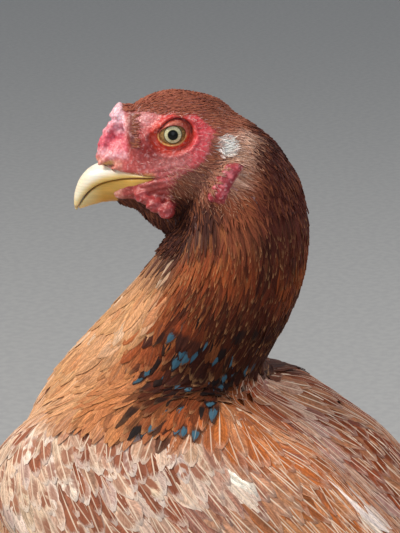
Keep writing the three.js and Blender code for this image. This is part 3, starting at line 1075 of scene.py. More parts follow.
@dataclass(frozen=True)
class BeakHorn(Finish):
    """Beak horn: keratin in long fine layers, ivory at the ridge with a painted highlight there, amber below,
    worn to a soft gloss.
    """

    name: str = "beak_horn"
    roughness: float = 0.34
    specular: float = 0.5
    subsurface: float = 0.15
    coat: float = 0.15

    def draw(self, tree: Tree) -> Drawn:
        """Colour by place, with growth streaks 1 mm apart along the beak.

        Args:
            tree: the material's node tree.

        Returns:
            Its colour and its relief.
        """
        along = add(tree, Kind.VALUE, attribute_name="along")
        across = add(tree, Kind.VALUE, attribute_name="across")
        grown = add(tree, Kind.COMBINE, add(tree, Kind.TIMES, along, 2.0), add(tree, Kind.TIMES, across, 6.0))
        layers = add(tree, Kind.NOISE, grown, 1.6, 5.0)
        ground = add(tree, Kind.COLOUR, attribute_name="tint_ground")
        colour = add(tree, Kind.SHADE, 1.0, ground, add(tree, Kind.RAMP, layers, 0.3, 0.72, 0.88, 1.08))
        return colour, (layers, 0.2, 0.0003)


@dataclass(frozen=True)
class WetEye(Finish):
    """An eye: a pearl iris with fine radial threads round a black pupil, under a clear wet surface."""

    name: str = "wet_eye"
    roughness: float = 0.2
    specular: float = 0.1
    coat: float = 0.4

    def draw(self, tree: Tree) -> Drawn:
        """Rings by the share from the pupil's middle to the iris's edge, and threads round it.

        Args:
            tree: the material's node tree.

        Returns:
            Its colour, and no relief.
        """
        radius = add(tree, Kind.VALUE, attribute_name="along")
        turn = add(tree, Kind.VALUE, attribute_name="across")
        sine, cosine = add(tree, Kind.SINE, turn), add(tree, Kind.COSINE, turn)
        spun = add(
            tree, Kind.COMBINE, add(tree, Kind.TIMES, sine, 6.0), add(tree, Kind.TIMES, cosine, 6.0), radius
        )
        threads = add(tree, Kind.NOISE, spun, 2.0, 3.0)
        iris = add(
            tree, Kind.MIX, add(tree, Kind.RAMP, threads, 0.35, 0.65), linear("#c0b98a"), linear("#ebe6bf")
        )
        iris = add(tree, Kind.MIX, add(tree, Kind.RAMP, radius, 0.7, 0.6, 0.0, 0.5), iris, linear("#8d8150"))
        iris = add(tree, Kind.MIX, add(tree, Kind.RAMP, radius, 0.9, 1.0), iris, linear("#3c3424"))
        colour = add(tree, Kind.MIX, add(tree, Kind.RAMP, radius, 0.61, 0.56), iris, linear("#040404"))
        white = add(
            tree, Kind.MIX, add(tree, Kind.RAMP, threads, 0.4, 0.6), linear("#7a5c34"), linear("#a8804a")
        )
        colour = add(tree, Kind.MIX, add(tree, Kind.RAMP, radius, 1.0, 1.08), colour, white)
        colour = add(tree, Kind.MIX, add(tree, Kind.RAMP, radius, 1.45, 1.7), colour, linear("#8c3a26"))
        return colour, None


@dataclass(frozen=True)
class StudioFloor(Finish):
    """Matt painted board: a plain pale floor with a faint mottle."""

    name: str = "painted_board"
    roughness: float = 0.9
    specular: float = 0.2

    def draw(self, tree: Tree) -> Drawn:
        """A pale grey with a mottle 8 mm across, and no relief."""
        mottle = add(tree, Kind.RAMP, add(tree, Kind.NOISE, add(tree, Kind.PLACE), 120.0, 3.0), 0.35, 0.65)
        return add(tree, Kind.MIX, mottle, linear("#a3a3a3"), linear("#a9a9a8")), None


# ---- The skin ----


SKULL = (  # forward, up, half width, half height, in millimetres
    (-27, -8, 7, 7), (-24, -9, 14, 14), (-15, -10.5, 19, 21.5), (-4, -9.1, 20.2, 26), (7, -9.2, 20.2, 28.3),
    (15, -10, 18.2, 27), (21, -11.1, 15.4, 23.9), (26, -12.6, 12.8, 19.4), (31, -10.4, 10.2, 11),
    (36, -12, 7.6, 6), (40, -13, 3.6, 2.8),
)


@dataclass
class Skin:
    """One skin over head, neck, trunk, wings, thighs, legs and feet, finer on the face and the feet."""

    body_voxel: float = 3.2 * MM
    head_voxel: float = 0.76 * MM
    leg_voxel: float = 1.45 * MM
    skin_depth: float = 2.6
    coat_depth: float = 1.2
    scute: float = 4.6
    neck_cut: float = 0.376
    coated: tuple[str, ...] = (
        "head", "neck", "trunk", "wing_left", "wing_right", "flights_left", "flights_right",
        "thigh_left", "thigh_right",
    )
    bare: tuple[str, ...] = ("comb", "wattle_left", "wattle_right", "earlobe_left", "earlobe_right")

    def legs_nodes(self) -> list[str]:
        """The names of the shanks' and toes' nodes."""
        return [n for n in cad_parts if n.startswith(("toe_", "shank_"))]

    def bed(self, nodes: Sequence[str], name: str, deep: float) -> Piece:
        """A surface inside the solids.

        Args:
            nodes: the solids that it runs over.
            name: its name.
            deep: millimetres that it lies inside them.

        Returns:
            The surface.
        """
        bed = remeshed(merged_copy(nodes), self.body_voxel, 14, name)
        points, out = read_rows(bed.data, "co"), read_rows(bed.data, "normal")
        depth = deep * MM * smooth(points[:, 2], 0.112, 0.14)
        set_places(bed.data, points - out * depth[:, None])
        relax(bed.data, 3)
        return bed

    def head(self) -> Piece:
        """The head's fine skin, with lids, brow, comb, wattles and folds.

        Returns:
            The head's skin.
        """
        parts = [
            merged_copy(["head", "neck"], self.neck_cut),
            sweep("skull", [(f, u, w, h, h) for f, u, w, h in SKULL], BIRD.head_left, 60, 56),
        ]
        surface = BVHTree.FromObject(parts[0], bpy.context.evaluated_depsgraph_get())
        for side in (1, -1):
            parts += self.wattle(side)
            parts += self.earlobe(side, surface)
            parts.append(blob(BIRD.on_head(36.2, -9.4, side * 6.6), (5.6, 2.3, 2.3), 30))
            parts.append(blob(BIRD.on_head(31, -12.6, side * 9.2), (4.6, 1.9, 2.2), 12))
        parts.append(blob(BIRD.on_head(11.6, -34.6), (17, 11, 8), -35))
        parts.append(blob(BIRD.on_head(3.2, -40), (9, 12, 9), -35))
        parts += self.comb()
        skin = remeshed(joined("lump", parts), self.head_voxel, 3, "head_skin")
        self.refine(skin.data)
        self.sculpt(skin.data)
        return skin

    def comb(self) -> list[Piece]:
        """The pea comb: three rows of rounded lumps over the comb's own solid.

        Returns:
            The core and its lumps.
        """
        rng = np.random.default_rng(SEED)
        core = merged_copy(["comb"])
        set_places(core.data, read_rows(core.data, "co") - read_rows(core.data, "normal") * 1.7 * MM)
        parts = [core]
        ridge = spline([(41.2, -9.6), (39.8, -5.6), (38.1, -1.0), (36, 3.8), (33.8, 8.8), (31.6, 12.4)], 9)
        for row in (-1, 0, 1):
            for forward, up in ridge[: 9 - abs(row)]:
                radius = rng.uniform(1.5, 2.05)
                place = np.array([forward - 1.9 * abs(row), up + 1.1 * abs(row), 3.5 * row])
                place += rng.uniform(-0.6, 0.6, 3)
                parts.append(blob(BIRD.on_head(*place), (radius, radius, radius * 0.9)))
                if up > 2:
                    behind = place - (2.9, 0.4, 0)
                    parts.append(blob(BIRD.on_head(*behind), (radius, radius, radius * 0.9)))
        for forward, up, out in ((30.5, 0.5, 4.4), (31.5, -4, 5.2), (28.6, 5, 3), (33.5, -6.5, 4.6)):
            for side in (1, -1):
                parts.append(blob(BIRD.on_head(forward, up, out * side), (2.6, 1.8, 2.6)))
        return parts

    def wattle(self, side: int) -> list[Piece]:
        """The small wattle: three lobes in a row behind the mouth's corner, with little folds on them.

        Args:
            side: 1 for her left, -1 for her right.

        Returns:
            The lobes and folds.
        """
        rng = np.random.default_rng(SEED + side)
        lobes = [(22, -24.4, 13.4, 3.1), (16.6, -27.6, 16.2, 3.7), (11.2, -30.2, 18.2, 4.1)]
        parts = [blob(BIRD.on_head(f, u, side * o), (r, r * 0.8, r * 0.95)) for f, u, o, r in lobes]
        row = [(25, -20, 11), (21, -23.5, 14.4), (15.5, -26.4, 17.6), (9.4, -28.4, 19)]
        for forward, up, out in spline(row, 11):
            radius = rng.uniform(1.2, 1.9)
            ahead, higher, outer = rng.uniform(-1, 1), rng.uniform(-3, 1.6), rng.uniform(-0.4, 1)
            place = BIRD.on_head(forward + ahead, up + higher, side * (out + outer))
            parts.append(blob(place, (radius, radius * 0.8, radius)))
        return parts

    def earlobe(self, side: int, surface: BVHTree) -> list[Piece]:
        """The ear lobe, a strip of small red lumps laid on the side of the head.

        Args:
            side: 1 for her left, -1 for her right.
            surface: the head's surface to lay them on.

        Returns:
            The lumps.
        """
        rng = np.random.default_rng(SEED + 5 * side)
        parts = []
        for forward, up in spline([(-17, -9), (-15, -13), (-12, -18), (-9.4, -22.6)], 14):
            for across in (-1.9, 0.1, 2.1):
                start = (forward + across + rng.uniform(-0.5, 0.5), up + rng.uniform(-0.7, 0.7), side * 45)
                place = surface.ray_cast(Vector(BIRD.on_head(*start)), Vector(BIRD.head_left * -side))[0]
                radius = rng.uniform(1.2, 1.8)
                if place is not None:
                    raised = np.array(place) + BIRD.head_left * side * 1.0 * MM
                    parts.append(blob(raised, (radius, radius * 1.1, radius)))
        return parts

    @staticmethod
    def refine(mesh: Mesh) -> None:
        """Halves the mesh's cells round the eyes, where the lids are thin.

        Args:
            mesh: the head's skin.
        """
        work = bmesh.new()
        work.from_mesh(mesh)
        near = []
        for side in (1, -1):
            eye = Vector(BIRD.eyes[side] + BIRD.head_left * side * BIRD.eye_radius)
            near += [e for e in work.edges if (e.verts[0].co - eye).length < 0.0125]
        bmesh.ops.subdivide_edges(work, edges=near, cuts=1, use_grid_fill=True)
        work.to_mesh(mesh)
        work.free()
        mesh.update()

    def sculpt(self, mesh: Mesh) -> None:
        """Sets the eyes in their lids and brows, folds the face and sinks what the plumage covers.

        Args:
            mesh: the head's skin.
        """
        p, out = read_rows(mesh, "co"), read_rows(mesh, "normal")
        f, u, o = BIRD.head(p)
        bare = MARKINGS.bald(p)
        ring, x, y = BIRD.eye_ring(p)
        away = np.hypot(x, y)
        top = smooth(y, -1.2, 1.2)
        level = np.abs(o)
        ball = BIRD.eye_out + np.sqrt(np.maximum((BIRD.eye_radius / MM) ** 2 - away**2, 4))
        base = level - 1.7 * bell(away, 0, 13)
        lid = ball + 0.75 * smooth(ring, 0.98, 1.1)
        off_lid = smooth(ring, 1.25, 2.1)
        height = np.where(ring < 1, ball - 0.8, lid * (1 - off_lid) + base * off_lid)
        crease = BIRD.lid_crease(x, y)
        height = height + 0.45 * bell(ring, 1.1, 0.08) + 0.7 * bell(ring, 1.32, 0.16) * (1 - top)
        height = height + 0.8 * bell(ring, 1 + 0.55 * (crease - 1), 0.2) * top * smooth(crease, 1.2, 1.6)
        height = height - 1.0 * bell(ring - crease, 0.0, 0.1) * top * smooth(x, -11, -6)
        height = height + 2.3 * bell(ring - crease, 0.36, 0.26) * top * smooth(x, -13, -6)
        height = height - 0.5 * bell(ring, 1.62, 0.1) * (1 - top) + 0.5 * bell(ring, 2.1, 0.25) * (1 - top)
        horn = np.interp(f, [15.5, 20, 25, 31, 36, 43], [15.0, 13.6, 11.2, 8.4, 5.8, 3.5])
        above = np.interp(f, [16, 24, 31, 36, 43], [-15.2, -14.6, -14.0, -13.2, -12.2]) - u
        beneath = u - np.interp(f, [16, 24.6, 28.8, 40], [-16.4, -21.5, -26, -34])
        horned = smooth(np.minimum(above, beneath), -0.3, 0.5) * smooth(f, 15.6, 17.2)
        height = height + (horn - height) * horned * (height > horn)
        sideways = smooth(np.abs(out @ BIRD.head_left), 0.15, 0.4)
        share = np.maximum(smooth(away, 21, 15), horned) * (level > 3) * sideways
        moved = (height - level) * share * np.sign(o)
        p = p + BIRD.head_left * (moved * MM)[:, None]
        rays = np.sin(np.arctan2(y, x) * 44 + 2 * value_noise(p, 6 * MM, 11)) * smooth(ring, 1.9, 2.3)
        rays = rays * smooth(ring, 4.2, 2.8) * smooth(x, 2, -6)
        grain = value_noise(p, 1.5 * MM, 12) + 0.6 * value_noise(p, 2.8 * MM, 13)
        strands = np.sin(2.3 * (u + 0.28 * (f - 10) + 0.5 * value_noise(p, 5 * MM, 8)))
        strands = strands * bell(f, 12, 8) * bell(u, -13.5, 4)
        folds = np.sin((u + 0.35 * f + 1.2 * value_noise(p, 5 * MM, 14)) * 2.0)
        folds = folds * smooth(u, -14, -18) * smooth(f, 4, 9)
        push = 0.1 * rays + 0.25 * strands + 0.17 * grain + 0.3 * folds * smooth(f, 30, 26)
        push = push * smooth(ring, 1.0, 1.5)
        mouth = u - np.interp(f, [14, 27, 33], [-15.4, -16.7, -17.9])
        push = push - 1.0 * bell(mouth, -0.5, 0.55) * smooth(f, 13.5, 16)
        push = push + 0.4 * bell(mouth, 0.9, 0.8) * smooth(f, 14, 17)
        slit = (np.abs(o) > 3.5) * bell(u + 0.3 * (f - 37), -12.6, 0.8) * smooth(np.abs(f - 37), 3.8, 2.4)
        push = (push - 1.3 * slit) * bare
        sunk = 0.5 + 0.7 * smooth(BIRD.on_neck(p)[0], 12, 50)
        push = push - sunk * (1 - bare)
        set_places(mesh, p + out * (push * MM)[:, None])
        relax(mesh, 1, 0.25)
        nape = smooth(f, -5, -14) * smooth(u, -34, -24) * (1 - bare)
        relax(mesh, 90, 0.5 * nape[:, None])

    def legs(self) -> Piece:
        """The shanks' and toes' skin with raised plates, in front and on top.

        Returns:
            The legs' skin.
        """
        names = self.legs_nodes()
        skin = remeshed(merged_copy(names), self.leg_voxel, 3, "leg_skin")
        p, out = read_rows(skin.data, "co"), read_rows(skin.data, "normal")
        joint = np.zeros(len(p))
        for name in names:
            low, high = (np.array(c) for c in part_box(name))
            inside = ((p > low - 0.002) & (p < high + 0.002)).all(1)
            if name.startswith("shank"):
                inside &= p[:, 2] > 0.019
                place = (p[:, 2] - 0.5 * np.abs(p[:, 0] - (low[0] + high[0]) / 2)) / (self.scute * MM)
                fronted = smooth(-out[:, 1], -0.35, 0.35)
            else:
                foot = np.array(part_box(f"shank_{name.split('_')[-1]}")).mean(0)
                heel = np.array([foot[0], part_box(f"toe_hind_{name.split('_')[-1]}")[0][1]])
                place = np.linalg.norm(p[:, :2] - heel, axis=1) / (self.scute * 0.75 * MM)
                fronted = smooth(out[:, 2], -0.1, 0.5)
            edge = np.abs(place - np.round(place)) * 2
            joint = np.maximum(joint, smooth(edge, 0.3, 0.0) * fronted * inside)
        push = -0.5 * joint * smooth(p[:, 2], 0.0005, 0.002)
        set_places(skin.data, p + out * (push * MM)[:, None])
        set_attribute(skin.data, "joint", joint)
        return skin

    def finish(self, head: Piece) -> Piece:
        """Joins body, head and legs, colours them and dresses them.

        Args:
            head: the head's skin, which stays as it is.

        Returns:
            The skin.
        """
        under = self.bed(self.coated, "under", self.skin_depth)
        points = read_rows(under.data, "co")
        sunk = smooth(points[:, 2], self.neck_cut - 0.002, self.neck_cut + 0.02)
        set_places(under.data, points - read_rows(under.data, "normal") * (0.0035 * sunk)[:, None])
        face = placed("face", head.data.copy())
        places = read_rows(face.data, "co")
        f, u, _ = BIRD.head(places)
        hidden = smooth(u + 15 * smooth(f, -6, 4), -28, -42)
        axis = BIRD.neck[BIRD.nearest(places)]
        set_places(face.data, blend(places, axis, 0.22 * hidden))
        parts = [under, face, self.legs()]
        for part, look in zip(parts, (CoatedSkin(), LivingSkin(), LegScale())):
            mesh = part.data
            mesh.materials.clear()
            mesh.materials.append(look.make())
            mesh.polygons.foreach_set("material_index", [0] * len(mesh.polygons))
            if "joint" not in mesh.attributes:
                set_attribute(mesh, "joint", np.zeros(len(mesh.vertices)))
            set_attribute(mesh, "tint_ground", MARKINGS.skin(read_rows(mesh, "co")))
        skin = joined("skin", parts)
        keep(skin, [*self.coated, *self.bare, *self.legs_nodes()])
        return skin


# ---- Feathers ----


class VaneShape(Enum):
    """Outlines of feathers."""

    BRISTLE = "bristle"
    CONTOUR = "contour"
    FLIGHT = "flight"


@dataclass(frozen=True)
class Vane:
    """One closed, thin feather of unit length and unit width, with a raised shaft and ragged edges."""

    shape: VaneShape
    rows: int = 8
    cut: int = 0

    def half_width(self, a: Array) -> Array:
        """The half width at shares of the length.

        Args:
            a: shares of the length.

        Returns:
            The half width at each.
        """
        if self.shape is VaneShape.BRISTLE:
            return 0.5 * np.sin(math.pi * np.clip(0.25 + a * 0.72, 0, 1)) ** 0.8
        if self.shape is VaneShape.CONTOUR:
            return 0.5 * np.sin(math.pi * np.clip(a, 0.02, 0.99) ** 1.8) ** 0.52
        tip = np.sqrt(np.clip(1 - np.clip((a - 0.86) / 0.145, 0, 1) ** 2, 0, 1))
        return 0.5 * (smooth(a, 0.0, 0.22) * 0.9 + 0.1) * tip

    def build(self) -> Piece:
        """The vane's mesh, with its shares along and across and its rise stored on it.

        Returns:
            The vane.
        """
        rng = np.random.default_rng(SEED + 31 * self.cut + len(self.shape.value))
        if self.shape is VaneShape.BRISTLE:
            columns, tops, ragged = np.array([-1, 0, 1, 0]), np.array([0.0, 0.16, 0.0, -0.06]), 0.0
        else:
            columns = np.array([-1, -0.6, -0.14, 0, 0.14, 0.6, 1, 0])
            tops, ragged = np.array([0.0, 0.06, 0.08, 0.17, 0.08, 0.06, 0.0, -0.05]), 0.034
        a = np.linspace(0, 1, self.rows) ** 0.9
        half = np.maximum(self.half_width(a), 0.02)
        wide = np.abs(columns)
        loose = smooth(a, 0.25, 0.6)[:, None]
        jag = rng.uniform(-1, 1, (self.rows, len(columns))) * ragged * wide * loose
        y = a[:, None] + jag - 0.1 * half[:, None] * wide
        x = half[:, None] * columns * (1 + rng.uniform(-1.4, 1, (self.rows, len(columns))) * ragged * loose)
        z = np.tile(tops * MM, (self.rows, 1))
        rings = np.stack([x, y, z], axis=-1)
        count = len(columns)
        last = (self.rows - 1) * count
        faces = [tuple(range(count)), tuple(range(last, last + count)), *quads(self.rows, count)]
        vane = outward(new_object(f"vane_{self.shape.value}_{self.cut}", rings.reshape(-1, 3), faces))
        vane.data.set_sharp_from_angle(angle=SHARP_TURN)
        across = np.tile(columns, self.rows)
        set_attributes(vane.data, along=np.repeat(a, count), across=across, rise=z.ravel())
        return vane


class FeatherTree:
    """The Geometry Nodes tree that sets a vane on every root, lays it on the bed and keeps its bake patch."""

    PATCH = 0.003

    def __init__(self) -> None:
        """Builds the node group once."""
        group = bpy.data.node_groups.new("feathering", "GeometryNodeTree")
        self.group = group
        face = group.interface
        face.new_socket("Geometry", in_out="INPUT", socket_type="NodeSocketGeometry")
        for name, kind in (
            ("Vanes", "NodeSocketCollection"),
            ("Bed", "NodeSocketObject"),
            ("Tip lift", "NodeSocketFloat"),
            ("Camber", "NodeSocketFloat"),
            ("Finish", "NodeSocketMaterial"),
        ):
            face.new_socket(name, in_out="INPUT", socket_type=kind)
        face.new_socket("Geometry", in_out="OUTPUT", socket_type="NodeSocketGeometry")
        given = group.nodes.new("NodeGroupInput").outputs
        points = add(group, "GeometryNodeMeshToPoints", Mesh=given["Geometry"])
        apart = {"Separate_Children": True, "Reset_Children": True}
        vanes = add(group, "GeometryNodeCollectionInfo", Collection=given["Vanes"], **apart)
        lie, out = add(group, Kind.ARROW, "lie"), add(group, Kind.ARROW, "out")
        turn = add(group, Kind.ALIGN, lie, axis="Y")
        turn = add(group, Kind.ALIGN, out, axis="Z", pivot_axis="Y", Rotation=turn)
        set_down = add(
            group,
            "GeometryNodeInstanceOnPoints",
            Points=points,
            Instance=vanes,
            Pick_Instance=True,
            Instance_Index=add(group, Kind.WHOLE, "cut"),
            Rotation=turn,
            Scale=add(group, Kind.ARROW, "size"),
        )
        real = add(group, "GeometryNodeRealizeInstances", Geometry=set_down)
        hugged = self.patch(self.hug(given, real))
        finished = add(group, "GeometryNodeSetMaterial", Geometry=hugged, Material=given["Finish"])
        result = group.nodes.new("NodeGroupOutput")
        group.links.new(finished, result.inputs[0])

    def hug(self, given: object, real: Socket) -> Socket:
        """Moves each vane's points onto the bed, rising from root to tip.

        Args:
            given: the tree's inputs.
            real: the vanes.

        Returns:
            The vanes on the bed.
        """
        group = self.group
        place = add(group, "GeometryNodeInputPosition")
        bed = add(group, Kind.SOURCE, given["Bed"])
        near, out = (
            add(
                group,
                "GeometryNodeSampleNearestSurface",
                data_type="FLOAT_VECTOR",
                Mesh=bed,
                Value=value,
                Sample_Position=place,
            )
            for value in (place, add(group, Kind.ARROW, "out_of_bed"))
        )
        along, across = add(group, Kind.NUMBER, "along"), add(group, Kind.NUMBER, "across")
        tip = add(group, Kind.TIMES, add(group, Kind.POWER, along, 1.25), given["Tip lift"])
        tip = add(group, Kind.TIMES, tip, add(group, Kind.NUMBER, "loft"))
        sag = add(group, Kind.TIMES, add(group, Kind.TIMES, across, across), given["Camber"])
        height = add(group, Kind.ADD, add(group, Kind.SUBTRACT, tip, sag), add(group, Kind.NUMBER, "rise"))
        rolled = add(
            group, Kind.TIMES, add(group, Kind.TIMES, across, along), add(group, Kind.NUMBER, "roll")
        )
        height = add(group, Kind.ADD, height, rolled)
        height = add(group, Kind.ADD, height, add(group, Kind.NUMBER, "stack"))
        raised = add(group, "ShaderNodeVectorMath", operation="SCALE", Vector=out, Scale=height)
        target = add(group, Kind.MOVE, near, raised)
        return add(group, "GeometryNodeSetPosition", Geometry=real, Position=target)

    def patch(self, geometry: Socket) -> Socket:
        """Stores the bake map: a small patch for each vane at its root's place on the skin's unwrap.

        Args:
            geometry: the vanes.

        Returns:
            The vanes with their map.
        """
        group = self.group
        middled = add(group, Kind.SUBTRACT, add(group, Kind.NUMBER, "along"), 0.5)
        wide = add(group, Kind.TIMES, add(group, Kind.NUMBER, "across"), self.PATCH / 2)
        small = add(group, Kind.COMBINE, wide, add(group, Kind.TIMES, middled, self.PATCH))
        root = add(group, Kind.ARROW, "unwrap")
        kept = {"Geometry": geometry, "Name": "OFBake", "Value": add(group, Kind.MOVE, root, small)}
        return add(group, "GeometryNodeStoreNamedAttribute", data_type="FLOAT2", domain="CORNER", **kept)

    def grow(self, name: str, roots: Piece, values: dict[str, object]) -> Piece:
        """Runs the tree on roots and returns the feathers as one plain mesh object.

        Args:
            name: the new piece's name.
            roots: a mesh of points with the feathers' attributes; it is removed.
            values: the tree's inputs by name.

        Returns:
            The piece.
        """
        modifier = roots.modifiers.new("feathering", "NODES")
        modifier.node_group = self.group
        keys = {i.name: i.identifier for i in self.group.interface.items_tree if i.in_out == "INPUT"}
        for key, value in values.items():
            modifier[keys[key]] = value
        mesh = evaluated_mesh(roots)
        bpy.data.objects.remove(roots)
        return placed(name, mesh)


class Ground:
    """A surface that feathers grow on: its triangles to scatter roots over and its normals to hug."""

    TRIES = 6
    LEAST_GAP = 0.84

    def __init__(self, surface: Piece) -> None:
        """Reads the surface's shape once and stores its normals for the feathers to follow.

        Args:
            surface: the bed.
        """
        self.surface = surface
        mesh = surface.data
        self.points = read_rows(mesh, "co")
        self.normals = read_rows(mesh, "normal")
        set_attribute(mesh, "out_of_bed", self.normals)
        mesh.calc_loop_triangles()
        corners = np.empty(len(mesh.loop_triangles) * 3, dtype=np.int32)
        mesh.loop_triangles.foreach_get("vertices", corners)
        self.corners = corners.reshape(-1, 3)
        a, b, c = (self.points[self.corners[:, i]] for i in range(3))
        self.area = np.linalg.norm(np.cross(b - a, c - a), axis=1) / 2
        self.tree = BVHTree.FromObject(surface, bpy.context.evaluated_depsgraph_get())

    def scatter(self, covers: Measure, spacing: Measure) -> tuple[Array, Array]:
        """Even, unaligned roots over part of the surface.

        Args:
            covers: how much of each place is covered, from 0 to 1.
            spacing: millimetres between roots at each place.

        Returns:
            The roots' places and the surface's normals there.
        """
        centres = self.points[self.corners].mean(1)
        chance = self.area * covers(centres) / (spacing(centres) * MM) ** 2
        wanted = int(chance.sum() * self.TRIES)
        rng = np.random.default_rng(SEED + wanted)
        pick = rng.choice(len(centres), wanted, p=chance / chance.sum())
        share = rng.dirichlet((1, 1, 1), wanted)[..., None]
        p = (self.points[self.corners[pick]] * share).sum(1)
        n = unit((self.normals[self.corners[pick]] * share).sum(1))
        kept = self.thinned(p, spacing(p) * MM * self.LEAST_GAP)
        return p[kept], n[kept]

    @staticmethod
    def thinned(p: Array, gap: Array) -> Array:
        """The indices of points no nearer to each other than their gap.

        Args:
            p: points, one a row.
            gap: each point's least distance to another.

        Returns:
            The indices that are kept.
        """
        keys = np.floor(p / float(gap.max())).astype(int)
        grid: dict[tuple[int, int, int], list[int]] = {}
        around = [(x, y, z) for x in (-1, 0, 1) for y in (-1, 0, 1) for z in (-1, 0, 1)]
        kept = []
        for i, (x, y, z) in enumerate(keys.tolist()):
            near = [j for dx, dy, dz in around for j in grid.get((x + dx, y + dy, z + dz), ())]
            if near and (((p[near] - p[i]) ** 2).sum(1) < gap[i] ** 2).any():
                continue
            grid.setdefault((x, y, z), []).append(i)
            kept.append(i)
        return np.array(kept)

    def under(self, places: Array) -> tuple[Array, Array]:
        """The nearest places on the surface and its normals there."""
        found = [self.tree.find_nearest(Vector(p)) for p in places]
        return np.array([f[0] for f in found]), np.array([f[1] for f in found])


@dataclass
class Tract:
    """One feather tract: where it grows and what its feathers are like. Sizes are in millimetres."""

    name: str
    shape: VaneShape
    covers: Measure
    spacing: Measure
    length: Measure
    width: Measure
    rows: int = 9
    tip_lift: float = 1.3
    camber: float = 0.15
    stack: float = 0.1
    jitter: float = 0.1
    on_face: bool = False
    tone: str = ""


@dataclass
class Quills:
    """A fan of long feathers laid one over another, from its first root and tip to its last."""

    name: str
    count: int
    roots: tuple[tuple[float, float], tuple[float, float]]
    tips: tuple[tuple[float, float], tuple[float, float]]
    width: tuple[float, float]
    out: float
    reach: float = 0.0
    curl: float = 0.0


